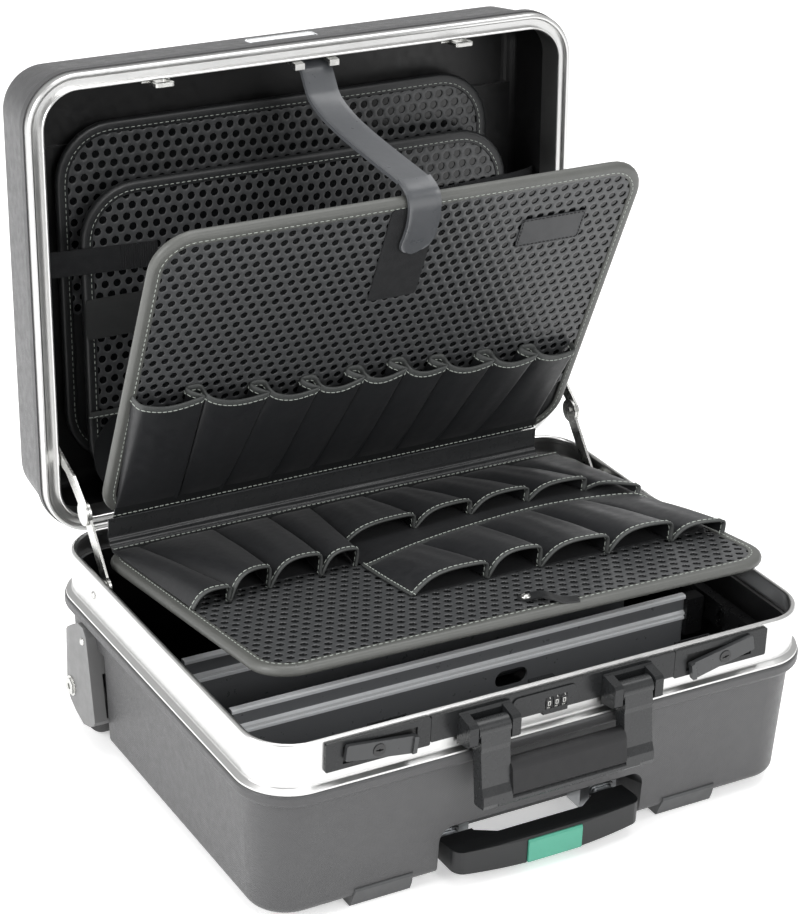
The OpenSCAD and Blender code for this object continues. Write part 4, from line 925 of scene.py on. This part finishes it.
x = np.linspace(-203, 203, 120)[:, None]
ang = np.radians(np.linspace(292, 360, 22))
arc = np.stack([SPINE_AXIS[0] + SPINE_R * np.cos(ang), SPINE_AXIS[1] + SPINE_R * np.sin(ang)], -1)
profile = np.vstack([[(154.6, 149.2), (157, 149.2)], arc, [(165.4, 166), (165.0, 173.2)]])
share = np.linspace(0, 1, len(profile))
# lengthwise creases that wander slowly along x, faded out at both sewn edges
crease = 0.9 * np.sin(share * 15 + 0.6 * np.sin(x * 0.012)) + 0.35 * np.sin(x * 0.045) * np.sin(share * 9 + 1)
toward = unit(SPINE_LOOKS_AT - profile)
lean = ((0.4 + crease) * np.sin(math.pi * share))[..., None] * toward
P = mm(x, profile[:, 0] + lean[..., 0], profile[:, 1] + lean[..., 1])
if np.sum(grid_normals(P)[60, 12] * [0, *toward[12]]) < 0:
    P = P[::-1]
piece("spine_cover", *thick(P, 1.6), FINISH["spine"], "base", "strap_leather", replaces=("board_spine",), flat=60)

# ---------------------------------------------------------------- dial digits
DIAL_AXIS, DIAL_PITCH = (-181, RIM_Z - 17.5), 6.6      # the dials' axis in y and z, and how far apart they are
DIAL_FACE_R, DIAL_R = 8.62, 8.68      # the dial's own face, and the digits' on it
BAR_WIDE, BAR_HIGH = 1.9, 1.6
# each bar's ends on a grid two high and one wide, and the bars of 0 to 9
BARS = {"a": (0, 2, 1, 2), "b": (1, 1, 1, 2), "c": (1, 0, 1, 1), "d": (0, 0, 1, 0), "e": (0, 0, 0, 1),
        "f": (0, 1, 0, 2), "g": (0, 1, 1, 1)}
DIGITS = ["abcdef", "bc", "abged", "abgcd", "fgbc", "afgcd", "afgedc", "abc", "abcdefg", "abcdfg"]
for dial in (1, 2, 3):
    parts = []
    for digit, bars in enumerate(DIGITS):
        for bar in bars:
            ax, az, bx, bz = BARS[bar]
            X, Z = np.meshgrid(np.linspace(ax * BAR_WIDE - 1.15, bx * BAR_WIDE - 0.75, 3),
                               np.linspace(az * BAR_HIGH - 1.8, bz * BAR_HIGH - 1.4, 4))
            a = Z / DIAL_FACE_R + math.radians(36 * digit)
            parts.append(thick(mm((dial - 2) * DIAL_PITCH + X, DIAL_AXIS[0] - DIAL_R * np.cos(a),
                                  DIAL_AXIS[1] + DIAL_R * np.sin(a)), 0.09))
    piece(f"dial_digits_{dial}", *merged(parts), FINISH["digits"], f"number_wheel_{dial}", "lock_black", flat=30)

# ---------------------------------------------------------------- bare plate on the lid's front wall
PLATE_Y = -185.6      # the wall's y with the lid shut
# the plate's section as (outward, height): wall, bevel, flat rim, then a step down to the bare field
PLATE_RINGS = ((0.0, 0.0), (0.0, 0.55), (-0.4, 0.8), (-1.6, 0.8), (-2.0, 0.62), (-3.2, 0.62))
p, o = rounded(-37, 24, 185.5, 204.5, 3, 3)
outward, high = (np.array(PLATE_RINGS)[:, k, None] for k in (0, 1))
plate = mm(p[:, 0] + o[:, 0] * outward, *turned_open(PLATE_Y - high, p[:, 1] + o[:, 1] * outward))
faces = closed_rings(plate)
step = [3 * len(p) <= k < 4 * len(p) for k in range(len(faces))]
piece("lid_bare_plate", plate, faces, [FINISH["bead"], FINISH["black"]], "lid", "bright_steel", index=step, flat=40)

# ---------------------------------------------------------------- stitches, and a mesh of its own for each soft piece
for (body, thread, group), parts in STITCHES.items():
    name = "stitches_" + (group or body) + ("" if thread == "thread" else "_dark")
    ob = piece(name, *merged(parts), FINISH[thread], body, "pocket_cloth", flat=80)
    SOFT += [(ob,) + rest[1:] for rest in SOFT if rest[0].name == group][:1]

for soft, axis, anchor, keep in SOFT:
    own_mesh(soft)
